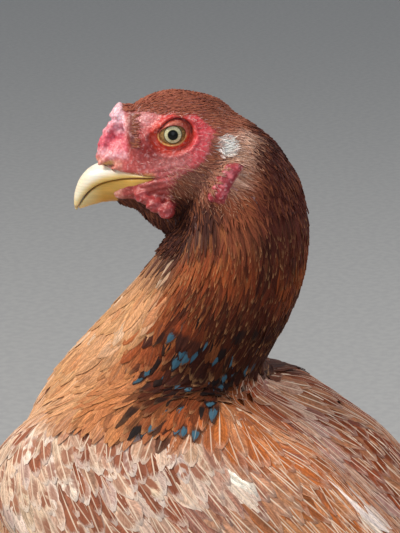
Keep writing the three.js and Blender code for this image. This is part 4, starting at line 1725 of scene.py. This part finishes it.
class Plumage:
    """Grows every tract with one lie of the coat and one set of markings."""

    def __init__(self, body: Ground, head: Ground) -> None:
        """Keeps the grounds and makes the shared tree and finish."""
        self.body, self.head = body, head
        self.tree, self.finish = FeatherTree(), FeatherVane().make()

    def lie(self, p: Array, n: Array) -> Array:
        """The way feathers point at places on the body, along its surface.

        Args:
            p: points.
            n: the surface's normals there.

        Returns:
            Unit vectors.
        """
        ones = np.ones((len(p), 1))
        f, u, _ = BIRD.head(p)
        down, away, _ = BIRD.on_neck(p)
        along, _, out = BIRD.body(p)
        fan = unit(p - BIRD.neck[BIRD.fan_point])
        neck_way = unit(blend(BIRD.neck_course[BIRD.nearest(p)], fan, smooth(down, 62, 104)))
        drop = np.array([0, 0.42, -1.0]) * ones
        trunk_way = blend(BIRD.tailward * ones, drop, smooth(along, 0, -110) * smooth(np.abs(out), 22, 52))
        breast = smooth(along, -62, -96) * smooth(np.abs(out), 62, 40)
        trunk_way = unit(blend(trunk_way, fan + 0.4 * drop, breast))
        on_neck = smooth(down, 150, 118) * smooth(away, 74, 50)
        way = unit(blend(trunk_way, neck_way, on_neck))
        thigh = smooth(p[:, 2], 0.215, 0.175) * (np.abs(out) > 14) * (along < 95)
        way = unit(blend(way, np.array([0, 0.2, -1.0]) * ones, thigh))
        swept = unit(-BIRD.ahead * ones - BIRD.up * (0.25 + 0.9 * smooth(u, -8, -30))[:, None])
        on_head = smooth(f - 0.3 * u, -30, -12) * smooth(down, 52, 34)
        way = unit(blend(way, swept, on_head))
        return unit(way - n * (way * n).sum(-1, keepdims=True))

    def unwrap(self, p: Array) -> Array:
        """Places on an unwrap of the skin: the turn round the body's axis against the length along it.

        Args:
            p: points, one a row.

        Returns:
            Places from 0 to 1, with a third number of 0.
        """
        along, lift, out = BIRD.body(p)
        f, u, o = BIRD.head(p)
        down, _, front = BIRD.on_neck(p)
        high = float(p[:, 2].mean())
        if high > BIRD.skull[2] - 0.04:
            turn, length = np.arctan2(o, u + 12), f
        elif high > BIRD.trunk[2] + 0.07:
            turn, length = np.arctan2(out, -front * 30), down
        else:
            turn, length = np.arctan2(out, lift), along
        places = np.stack([turn, length], axis=1)
        least, most = places.min(0), places.max(0)
        inside = 0.01 + 0.98 * (places - least) / (most - least + 1e-9)
        return np.concatenate([inside, np.zeros((len(p), 1))], axis=1)

    def pattern(self, p: Array, ends: Array, rng: np.random.Generator) -> dict[str, Array]:
        """The ground colour and the marks of feathers, from their roots' and their tips' places.

        Args:
            p: the roots.
            ends: the tips.
            rng: draws the random numbers.

        Returns:
            The feathers' attributes by name.
        """
        n = len(p)
        ones = np.ones((n, 1))
        front = BIRD.on_neck(p)[2]
        along, lift, out = BIRD.body(p)
        chance = rng.random(n)
        sheen = rng.random(n)
        headed = Regions.head(p).astype(float)
        necked = MARKINGS.hackled(p) * (1 - headed)
        wing = smooth(np.abs(out), 38, 52) * smooth(lift, -60, -30) * (1 - necked) * (1 - headed)
        bow = wing * smooth(along, -26, -44)
        back = np.clip(smooth(lift + 0.25 * np.abs(out), 4, 26) + wing, 0, 1)
        back = back * (1 - bow) * (1 - necked) * (1 - headed)
        ground = MARKINGS.plumage(p) * rng.uniform(0.88, 1.12, (n, 1)) * rng.uniform(0.97, 1.03, (n, 3))
        ground = painted(
            ground,
            ("#b46c3c", necked * (chance > 0.8) * smooth(front, -1, -0.2) * 0.42),
            ("#2a0f08", necked * (chance < 0.2) * smooth(front, 0.3, -0.2) * 0.5),
            ("#f0d9bc", necked * (chance > 0.9) * smooth(front, 0.2, 0.5) * 0.45),
            ("#f6e8de", bow * (chance > 0.8) * 0.5),
            ("#e0ac80", back * (chance > 0.68) * 0.3),
            ("#7c4426", back * (chance < 0.28) * 0.32),
            ("#a8623e", headed * (chance > 0.7) * (1 - MARKINGS.tuft(p)) * 0.35),
        )
        down_end, _, front_end = BIRD.on_neck(ends)
        along_end, lift_end, out_end = BIRD.body(ends)
        near = smooth(front_end, 0.22, 0.0) * (1 - headed) * smooth(out_end, 0, 9) * (down_end < 134)
        near = near * smooth(along_end, -28, -36)
        black = near * smooth(down_end, 72, 90) * (rng.random(n) < 0.2)
        gloss = near * smooth(along_end, -84, -75) * smooth(lift_end, 40, 47) * smooth(down_end, 88, 96)
        gloss = gloss * (rng.random(n) < 0.15)
        black = np.maximum(black, gloss) * (necked > 0.3)
        mauve = back * (sheen < 0.15)
        marked = ("#8a4f3a", sheen), ("#70444a", mauve), ("#1c1414", black > 0.3)
        mark = painted(rgb("#a8694d") * ones, *marked)
        edge = blend(rgb("#f0ddcd") * ones, rgb("#d8a06c"), necked)
        plain = 1 - headed
        shafts = (0.55 + 0.35 * bow) * wing + 0.7 * back * smooth(along, 130, 96)
        shafts = shafts + 0.2 * necked * smooth(front, 0, 0.5) + 0.3 * (1 - necked)
        bordered = 0.5 * bow + 0.1 * back
        return {
            "tint_ground": np.clip(ground, 0, 1),
            "tint_mark": np.clip(mark, 0, 1),
            "tint_edge": np.clip(edge, 0, 1),
            "blotched": np.clip(bow * rng.uniform(0.0, 1.0, n) + back * rng.uniform(-0.5, 0.5, n), 0, 1),
            "edged": plain * np.clip(bordered + necked * rng.uniform(-0.3, 0.35, n) + 0.1, 0, 0.9),
            "tipped": np.clip(black, 0, 1) * rng.uniform(0.6, 1, n),
            "glossed": np.clip(gloss * (black > 0.3), 0, 1),
            "shafted": np.clip(shafts, 0, 1) * rng.uniform(0.45, 1, n) * plain,
            "seed": rng.random(n),
        }

    def place(
        self, name: str, ground: Ground, p: Array, n: Array, way: Array, facts: dict[str, Array],
        shapes: bpy.types.Collection, lift: float, camber: float,
    ) -> Piece:
        """Sets feathers on roots and returns them as one piece.

        Args:
            name: the piece's name.
            ground: what the feathers hug.
            p: the roots.
            n: the surface's normals at them.
            way: which way each feather points.
            facts: each feather's sizes, marks and colours.
            shapes: the vanes to pick from.
            lift: millimetres that tips stand off.
            camber: millimetres that edges bend down.

        Returns:
            The piece.
        """
        base = new_object(f"{name}_roots", p, [])
        facts = facts | {"lie": way, "out": n, "unwrap": self.unwrap(p)}
        set_attributes(base.data, **facts)
        inputs = {"Vanes": shapes, "Bed": ground.surface, "Finish": self.finish}
        inputs |= {"Tip lift": lift * MM, "Camber": camber * MM}
        piece = self.tree.grow(name, base, inputs)
        LOG.info("%s: %d feathers", name, len(p))
        return piece

    def grow(self, tract: Tract) -> None:
        """Grows one tract and keeps it.

        Args:
            tract: the tract.
        """
        ground = self.head if tract.on_face else self.body
        p, n = ground.scatter(tract.covers, tract.spacing)
        rng = np.random.default_rng(SEED + len(tract.name))
        way = self.lie(p, n)
        way = unit(way + np.cross(way, n) * rng.normal(0, tract.jitter, (len(p), 1)))
        scale = rng.uniform(0.84, 1.16, len(p))
        size = np.stack([tract.width(p) * scale, tract.length(p) * scale, np.full(len(p), 1 / MM)], axis=1)
        size = size * MM
        facts = self.pattern(p, p + way * size[:, 1:2], rng) | {
            "size": size,
            "cut": rng.integers(0, 4, len(p)),
            "loft": rng.uniform(0.6, 1.4, len(p)),
            "roll": rng.choice([-1, 1], len(p)) * rng.uniform(0.05, 0.25, len(p)) * MM,
            "stack": np.full(len(p), tract.stack * MM),
        }
        if tract.tone:
            facts["tint_ground"] = rgb(tract.tone) * rng.uniform(0.8, 1.2, (len(p), 1))
        shapes = self.vanes(tract.name, tract.shape, tract.rows)
        piece = self.place(tract.name, ground, p, n, way, facts, shapes, tract.tip_lift, tract.camber)
        keep(piece)

    def lay(self, quills: Quills) -> Piece:
        """Lays a fan of quills on both sides.

        Args:
            quills: the fan.

        Returns:
            The quills of both sides as one piece.
        """
        share = np.linspace(0, 1, quills.count)
        rng = np.random.default_rng(SEED + quills.count)
        roots, tips = [], []
        for side in (1, -1):
            for t in share:
                root, tip = (np.array(a) * (1 - t) + np.array(b) * t for a, b in (quills.roots, quills.tips))
                swell = math.sin(math.pi * t)
                out = side * quills.out * (1 - quills.curl * (1 - swell))
                roots.append(BIRD.on_trunk(*root, out))
                past = quills.reach * swell
                tips.append(BIRD.on_trunk(tip[0] + past, tip[1] + 0.4 * past, out / 2))
        p, n = self.body.under(np.array(roots))
        tip = self.body.under(np.array(tips))[0]
        way = tip - p
        length = np.linalg.norm(way, axis=1)
        count = len(p)
        wide = np.linspace(*quills.width, quills.count).tolist() * 2
        facts = self.pattern(p, tip, rng)
        dark = np.tile(rgb("#5e3a2a" if quills.curl else "#744a34"), (count, 1))
        ground = blend(facts["tint_ground"], dark, 0.75 * np.ones(count))
        facts["tint_ground"] = ground * rng.uniform(0.85, 1.15, (count, 1))
        facts["tint_edge"] = np.tile(rgb("#d8b48c"), (count, 1))
        facts["edged"] = np.full(count, 0.15 if quills.curl else 0.5)
        facts |= {
            "size": np.stack([np.array(wide) * MM, length, np.full(count, 1.0)], axis=1),
            "cut": rng.integers(0, 2, count),
            "loft": np.ones(count),
            "roll": np.zeros(count),
            "stack": (1.4 + np.tile(share, 2) * 0.16 * quills.count) * MM,
        }
        shapes = self.vanes(quills.name, VaneShape.FLIGHT, 22, 2)
        flat = unit(way - n * (unit(way) * n).sum(-1, keepdims=True) * length[:, None])
        return self.place(quills.name, self.body, p, n, flat, facts, shapes, 0.6, 0.5)

    @staticmethod
    def vanes(name: str, shape: VaneShape, rows: int, cuts: int = 4) -> bpy.types.Collection:
        """A collection of a tract's vane shapes.

        Args:
            name: the tract's name.
            shape: the vanes' outline.
            rows: points along a vane.
            cuts: how many vanes to cut.

        Returns:
            The collection.
        """
        shapes = bpy.data.collections.new(f"{name}_vanes")
        for cut in range(cuts):
            vane = Vane(shape, rows, cut).build()
            bpy.context.scene.collection.objects.unlink(vane)
            shapes.objects.link(vane)
        return shapes


class Regions:
    """Which tract covers a place. Each place belongs to one tract only."""

    @staticmethod
    def head(p: Array) -> Array:
        """The head with its throat, down to the upper neck."""
        f, u, _ = BIRD.head(p)
        return u > -32 - 0.2 * np.maximum(f, -30) - 14 * smooth(f, -2, 6)

    @staticmethod
    def neck(p: Array) -> Array:
        """The hackles, from the head to the cape's edge.

        Args:
            p: points, one a row.

        Returns:
            Whether each is there.
        """
        down, away, front = BIRD.on_neck(p)
        column = (down < 90) & (away < 60)
        cape = (down < 138) & (away < MARKINGS.cape_reach(front))
        return (column | cape) & ~Regions.head(p)

    @staticmethod
    def leg(p: Array) -> Array:
        """The thighs."""
        along, lift, out = BIRD.body(p)
        return (p[:, 2] < 0.205) & (np.abs(out) > 14) & ((along < 94) | (p[:, 2] < 0.16)) & (lift < -42)

    @staticmethod
    def wing(p: Array) -> Array:
        """The wings and the shoulders over them.

        Args:
            p: points, one a row.

        Returns:
            Whether each is there.
        """
        along, lift, out = BIRD.body(p)
        side = (np.abs(out) > 30) & (lift > -40) & (along > -106) & (along < 150)
        return side & ~Regions.neck(p) & ~Regions.head(p)

    @staticmethod
    def tail(p: Array) -> Array:
        """The tail's root and the rump."""
        along, lift, out = BIRD.body(p)
        return (along > 108) & (np.abs(out) < 30) & (lift > 20) & (along < 172)

    @staticmethod
    def trunk(p: Array) -> Array:
        """All that is left of the body, short of the tail's end."""
        taken = Regions.head(p) | Regions.neck(p) | Regions.leg(p) | Regions.wing(p) | Regions.tail(p)
        return ~taken & (BIRD.body(p)[0] < 172) & (p[:, 2] > HOCK)


def tracts() -> list[Tract]:
    """The hen's feather tracts, from the head's bristles to the thighs.

    Returns:
        The tracts, in the order in which they grow.
    """

    def const(value: float) -> Measure:
        """The same size everywhere."""
        return lambda p: np.full(len(p), float(value))

    def down(p: Array) -> Array:
        """Millimetres down the neck."""
        return BIRD.on_neck(p)[0]

    def along(p: Array) -> Array:
        """Millimetres along the back."""
        return BIRD.body(p)[0]

    def up_thigh(p: Array) -> Array:
        """From 0 at the hock to 1 on the full thigh."""
        return smooth(p[:, 2], HOCK, 0.16)

    def crown(p: Array) -> Array:
        """The feathered part of the head."""
        return Regions.head(p) * smooth(MARKINGS.bald(p), 0.75, 0.3)

    def face(p: Array) -> Array:
        """Sparse bristles on the bare face, kept off the lids, comb and wattles.

        Args:
            p: points, one a row.

        Returns:
            A share for each point.
        """
        f, u, _ = BIRD.head(p)
        ring = BIRD.eye_ring(p)[0]
        open_skin = smooth(ring, 1.9, 2.3) * smooth(f, 25.5, 23.5) * smooth(u, -17, -12)
        open_skin = open_skin * (0.35 + 0.65 * smooth(u, 2, 7)) * (1 - bell(f, 19, 7) * bell(u, -3.8, 5.4))
        return Regions.head(p) * MARKINGS.bald(p) * open_skin * (1 - MARKINGS.lobe(p))

    def sided(side: int) -> Measure:
        """One wing."""
        return lambda p: Regions.wing(p) & (BIRD.body(p)[2] * side > 0)

    def beard(p: Array) -> Array:
        """The throat under the beak and the jaw."""
        f, u, _ = BIRD.head(p)
        return crown(p) * (u < -21) * (f > 0)

    def fringe(p: Array) -> Array:
        """Where pale bristles stand among the feathers, round the ear lobes and over the cheeks.

        Args:
            p: points, one a row.

        Returns:
            A share for each point.
        """
        f, u, o = BIRD.head(p)
        lobe = bell(f + 15.5 + 0.35 * (u + 16), -1, 5) * smooth(u, 1, -5) * smooth(u, -30, -25)
        cheek = smooth(f, -9, -3) * smooth(f, 12, 6) * smooth(u, -8, -13) * smooth(u, -26, -19)
        return Regions.head(p) * np.maximum(lobe, 0.6 * cheek) * (np.abs(o) > 9) * (1 - MARKINGS.lobe(p))

    size = {
        "spacing": lambda p: 5.0 - 1.0 * smooth(along(p), -48, -16) + 0.6 * smooth(along(p), 20, 90),
        "length": lambda p: 22 + 8 * smooth(along(p), -70, 40),
        "width": lambda p: 7.8 - 0.4 * smooth(along(p), -48, -16) + 1.0 * smooth(along(p), 20, 90),
    }
    front = lambda p: smooth(BIRD.on_neck(p)[2], -0.1, 0.6)
    contour, bristle = VaneShape.CONTOUR, VaneShape.BRISTLE
    return [
        Tract(
            "crown_coat", bristle, lambda p: crown(p) * (MARKINGS.tuft(p) < 0.4) * (beard(p) == 0),
            lambda p: 0.92 + 0.008 * np.maximum(down(p), 0), lambda p: 2.6 + 0.12 * down(p),
            lambda p: 0.5 + 0.016 * down(p), rows=4, tip_lift=0.6, camber=0.03, jitter=0.2, on_face=True,
        ),
        Tract(
            "throat_coat", bristle, beard, const(0.95), const(4.4), const(0.6), rows=4, tip_lift=0.9,
            camber=0.03, jitter=0.25, on_face=True,
        ),
        Tract(
            "ear_tufts", bristle, lambda p: crown(p) * (MARKINGS.tuft(p) >= 0.4), const(0.55), const(4.0),
            const(0.55), rows=4, tip_lift=1.3, camber=0.0, jitter=0.5, on_face=True,
        ),
        Tract(
            "cheek_bristles", bristle, fringe, const(1.2), const(1.7), const(0.19), rows=3, tip_lift=0.9,
            camber=0, jitter=0.45, stack=0.5, on_face=True, tone="#c09074",
        ),
        Tract(
            "face_bristles", bristle, face, const(1.9), const(1.7), const(0.16), rows=3, tip_lift=0.7,
            camber=0, jitter=0.4, on_face=True, tone="#e4b8b2",
        ),
        Tract(
            "hackle_upper", bristle, lambda p: Regions.neck(p) & (down(p) < 80),
            lambda p: 0.85 + 0.011 * down(p), lambda p: 7.5 + 0.12 * down(p), lambda p: 1.0 + 0.019 * down(p),
            rows=6, tip_lift=0.8, camber=0.05, stack=0.3,
        ),
        Tract(
            "hackle_cape", contour, lambda p: Regions.neck(p) & (down(p) >= 80),
            lambda p: 2.7 + 0.9 * front(p), lambda p: 21 + 5 * front(p), lambda p: 4.6 + 2.4 * front(p),
            rows=8, tip_lift=0.9, camber=0.12, stack=0.6,
        ),
        Tract(
            "shoulder_down", contour, lambda p: (Regions.trunk(p) | Regions.wing(p)) & (along(p) < -30),
            const(8), const(24), const(15), rows=5, tip_lift=0.1,
        ),
        Tract("breast_coat", contour, lambda p: Regions.trunk(p) & (along(p) < -20), **size, tip_lift=0.4),
        Tract("back_coat", contour, lambda p: Regions.trunk(p) & (along(p) >= -20), **size, tip_lift=0.4),
        Tract("wing_coat_left", contour, sided(1), **size, rows=8, stack=0.4, tip_lift=0.35),
        Tract("wing_coat_right", contour, sided(-1), **size, rows=8, stack=0.4, tip_lift=0.35),
        Tract(
            "thigh_coat", contour, lambda p: Regions.leg(p) & (p[:, 2] > HOCK + 0.003),
            lambda p: 3.0 + 1.8 * up_thigh(p), lambda p: 12 + 5 * up_thigh(p),
            lambda p: 5.2 + 3.2 * up_thigh(p), rows=8, tip_lift=0.7,
        ),
        Tract(
            "tail_coverts", contour, Regions.tail, const(6.5), const(36), const(13), stack=2.6, tip_lift=1.8,
        ),
    ]


QUILLS = (
    Quills("primaries", 7, ((0, -16), (70, 22)), ((140, 40), (176, 60)), (13, 12), 95),
    Quills("secondaries", 11, ((-34, -22), (66, 44)), ((62, 2), (150, 66)), (21, 17), 95),
    Quills("tail_feathers", 9, ((178, 34), (182, 100)), ((240, 50), (248, 136)), (21, 23), 32, 28, 0.8),
)


# ---- Eyes, beak and claws ----


@dataclass
class Eye:
    """An eyeball with a clear bulge over its iris, turned to the head's side."""

    iris: float = 3.75 * MM
    bulge: float = 0.8 * MM
    rings: int = 28
    sides: int = 40

    def build(self, side: int) -> Piece:
        """The ball with shares from the pupil's middle, and the turn round it, on its points.

        Args:
            side: 1 for her left, -1 for her right.

        Returns:
            The eyeball.
        """
        out, radius = BIRD.head_left * side, BIRD.eye_radius
        tilt = np.linspace(0, math.pi, self.rings) ** 1.35 / math.pi**0.35
        turn = 2 * math.pi * np.arange(self.sides) / self.sides
        away = radius * np.sin(tilt)
        clear = smooth(away, self.iris * 1.15, 0.0) * (tilt < math.pi / 2)
        level = radius * np.cos(tilt) + self.bulge * clear
        spin = np.cos(turn)[None, :, None] * BIRD.ahead + np.sin(turn)[None, :, None] * BIRD.up
        points = BIRD.eyes[side] + level[:, None, None] * out + away[:, None, None] * spin
        name = "eye_ball_left" if side > 0 else "eye_ball_right"
        ball = new_object(name, points.reshape(-1, 3), quads(self.rings, self.sides))
        share = np.where(tilt < math.pi / 2, away, 3 * radius) / self.iris
        set_attributes(ball.data, along=np.repeat(share, self.sides), across=np.tile(turn, self.rings))
        return outward(ball)


@dataclass
class Beak:
    """The two mandibles, met along the mouth line, with the horn's colours, a painted highlight on top and
    painted shade along the mouth line.
    """

    rings: int = 48
    sides: int = 44
    upper: tuple[tuple[float, ...], ...] = (
        (15.5, -15.6, 16.2, 1.4, 0.9), (20, -15.9, 15.0, 2.0, 1.2), (25, -16.3, 12.6, 3.2, 1.4),
        (31, -17.2, 10.0, 6.0, 1.4), (39, -19.4, 7.6, 7.0, 1.2), (44, -22.6, 5.8, 6.1, 0.9),
        (47.4, -26.4, 3.9, 4.1, 0.7), (49.4, -30.2, 2.2, 2.3, 0.5), (50.4, -33.0, 0.6, 0.7, 0.3),
    )
    lower: tuple[tuple[float, ...], ...] = (
        (15.5, -16.8, 15.4, 0.8, 1.4), (20, -17.2, 14.2, 1.0, 5.0), (25, -17.7, 12.0, 1.0, 8.6),
        (30, -18.4, 9.6, 1.0, 10.2), (37.6, -20.4, 6.9, 1.0, 9.6), (42.6, -23.4, 5.3, 0.8, 8.0),
        (46.0, -27.0, 3.7, 0.6, 5.6), (48.3, -30.4, 2.0, 0.5, 2.6), (49.3, -32.2, 0.6, 0.3, 0.8),
    )

    def build(self, name: str) -> Piece:
        """One mandible with its colours on its points.

        Args:
            name: upper or lower.

        Returns:
            The mandible.
        """
        piece = sweep(f"mandible_{name}", getattr(self, name), BIRD.head_left, self.rings, self.sides)
        p = read_rows(piece.data, "co")
        out = read_rows(piece.data, "normal")
        f, u, _ = BIRD.head(p)
        ones = np.ones((len(p), 1))
        if name == "upper":
            line = u - np.interp(f, [20, 31, 39, 44, 47.4, 50], [-16, -17.2, -19.4, -22.6, -26.4, -31])
            # pale towards the ridge and paler still where the surface faces up: partly the horn's colour,
            # partly painted highlight
            colour = blend(rgb("#e6c06a") * ones, rgb("#faf4e4"), smooth(line + 1.2 * out[:, 2], 0.4, 4.6))
            colour = blend(colour, rgb("#f3e3b4"), 0.5 * smooth(f, 42, 48))
            # painted shade: a dark line along the upper mandible's edge, where the mouth closes
            colour = blend(colour, rgb("#8c5a2a"), 0.7 * bell(line, -0.7, 0.5))
        else:
            line = u - np.interp(f, [20, 30, 37.6, 42.6, 46], [-17.2, -18.2, -20.2, -23.2, -26.8])
            colour = blend(rgb("#dfae50") * ones, rgb("#c08a3a"), smooth(line, -3, -9) * smooth(f, 44, 34))
            colour = blend(colour, rgb("#ecd392"), smooth(f, 38, 46))
        set_attributes(piece.data, tint_ground=colour, along=(f - 20) / 30, across=u / 10)
        return piece

    def make(self) -> None:
        """Builds, dresses and keeps both mandibles."""
        horn = BeakHorn().make()
        for name in ("upper", "lower"):
            piece = self.build(name)
            piece.data.materials.append(horn)
            keep(piece, [f"beak_{name}"])


@dataclass
class Claws:
    """Curved claws, one on each toe, grown from the solids' own ends."""

    colour: str = "#cdb384"
    voxel: float = 0.45 * MM

    def make(self) -> None:
        """Smooths the claws' solids into one piece of horn."""
        names = [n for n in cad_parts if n.startswith("claw_")]
        piece = remeshed(merged_copy(names), self.voxel, 6, "claws")
        p = read_rows(piece.data, "co")
        colour = np.tile(rgb(self.colour), (len(p), 1))
        set_attributes(piece.data, tint_ground=colour, along=p[:, 1] / 0.02, across=p[:, 0] / 0.004)
        piece.data.materials.clear()
        piece.data.materials.append(BeakHorn(name="claw_horn", roughness=0.42).make())
        keep(piece, names)


# ---- Studio ----


@dataclass
class Studio:
    """A plain pale floor, soft lamps and the camera."""

    azimuth: float = math.radians(120)
    elevation: float = math.radians(14)
    distance: float = 0.95
    view_width: float = 0.168
    target: tuple[float, float, float] = (0.0279, -0.0851, 0.3862)
    floor_side: float = 30.0

    def camera(self) -> None:
        """Sets the camera at its turn, height and distance from the point that it looks at."""
        a, e = self.azimuth, self.elevation
        back = np.array([math.sin(a) * math.cos(e), -math.cos(a) * math.cos(e), math.sin(e)])
        data = bpy.data.cameras.new("camera")
        data.sensor_fit = "HORIZONTAL"
        data.sensor_width = 36
        data.lens = 36 * self.distance / self.view_width
        data.clip_end = 100
        view = bpy.data.objects.new("camera", data)
        view.location = Vector(np.array(self.target) + back * self.distance)
        view.rotation_euler = Vector(back).to_track_quat("Z", "Y").to_euler()
        bpy.context.scene.collection.objects.link(view)
        bpy.context.scene.camera = view

    def lamp(self, name: str, place: Sequence[float], side: float, power: float, colour: str) -> None:
        """One square area lamp that points at the bird's breast.

        Args:
            name: its name.
            place: where it hangs.
            side: its side's length.
            power: its watts.
            colour: its hex colour.
        """
        data = bpy.data.lights.new(name, "AREA")
        data.size = side
        data.energy = power
        data.color = linear(colour)[:3]
        lamp = bpy.data.objects.new(name, data)
        lamp.location = place
        lamp.rotation_euler = (Vector(place) - Vector((0, -0.05, 0.35))).to_track_quat("Z", "Y").to_euler()
        bpy.context.scene.collection.objects.link(lamp)

    def build(self) -> None:
        """Floor, lamps, an even grey sky and the camera."""
        half = self.floor_side / 2
        corners = np.array([(-half, -half, 0), (half, -half, 0), (half, half, 0), (-half, half, 0)])
        floor = new_object("floor", corners, [(0, 1, 2, 3)])
        floor.data.materials.append(StudioFloor().make())
        self.lamp("key_lamp", (1.0, -1.3, 1.9), 1.0, 44, "#fff6ea")
        self.lamp("fill_lamp", (1.7, 0.9, 0.9), 1.6, 8, "#eef3ff")
        self.lamp("rim_lamp", (-1.2, 0.5, 1.7), 1.0, 14, "#ffffff")
        world = bpy.data.worlds.new("studio")
        world.use_nodes = True
        world.node_tree.nodes["Background"].inputs[0].default_value = linear("#dfe3e8")
        world.node_tree.nodes["Background"].inputs[1].default_value = 0.55
        bpy.context.scene.world = world
        bpy.context.scene.view_settings.view_transform = "Standard"
        self.camera()


# ---- Putting her together ----


def main() -> None:
    """Builds every sub-assembly in order."""
    logging.basicConfig(level=logging.INFO, format="%(message)s")
    Studio().build()
    skin = Skin()
    head = skin.head()
    skin.finish(head)
    bed = skin.bed([*skin.coated, "tail", "shank_left", "shank_right"], "bed", skin.coat_depth)
    plumage = Plumage(Ground(bed), Ground(head))
    for tract in tracts():
        plumage.grow(tract)
    flights, tail = [], []
    for quills in QUILLS:
        (tail if quills.name.startswith("tail") else flights).append(plumage.lay(quills))
    keep(joined("flight_feathers", flights))
    keep(tail[0], ["tail"])
    bpy.data.objects.remove(bed)
    bpy.data.objects.remove(head)
    for side, word in ((1, "left"), (-1, "right")):
        eye = Eye().build(side)
        eye.data.materials.append(WetEye().make())
        keep(eye, [f"eye_{word}"])
    Beak().make()
    Claws().make()


if __name__ == "__main__":
    main()
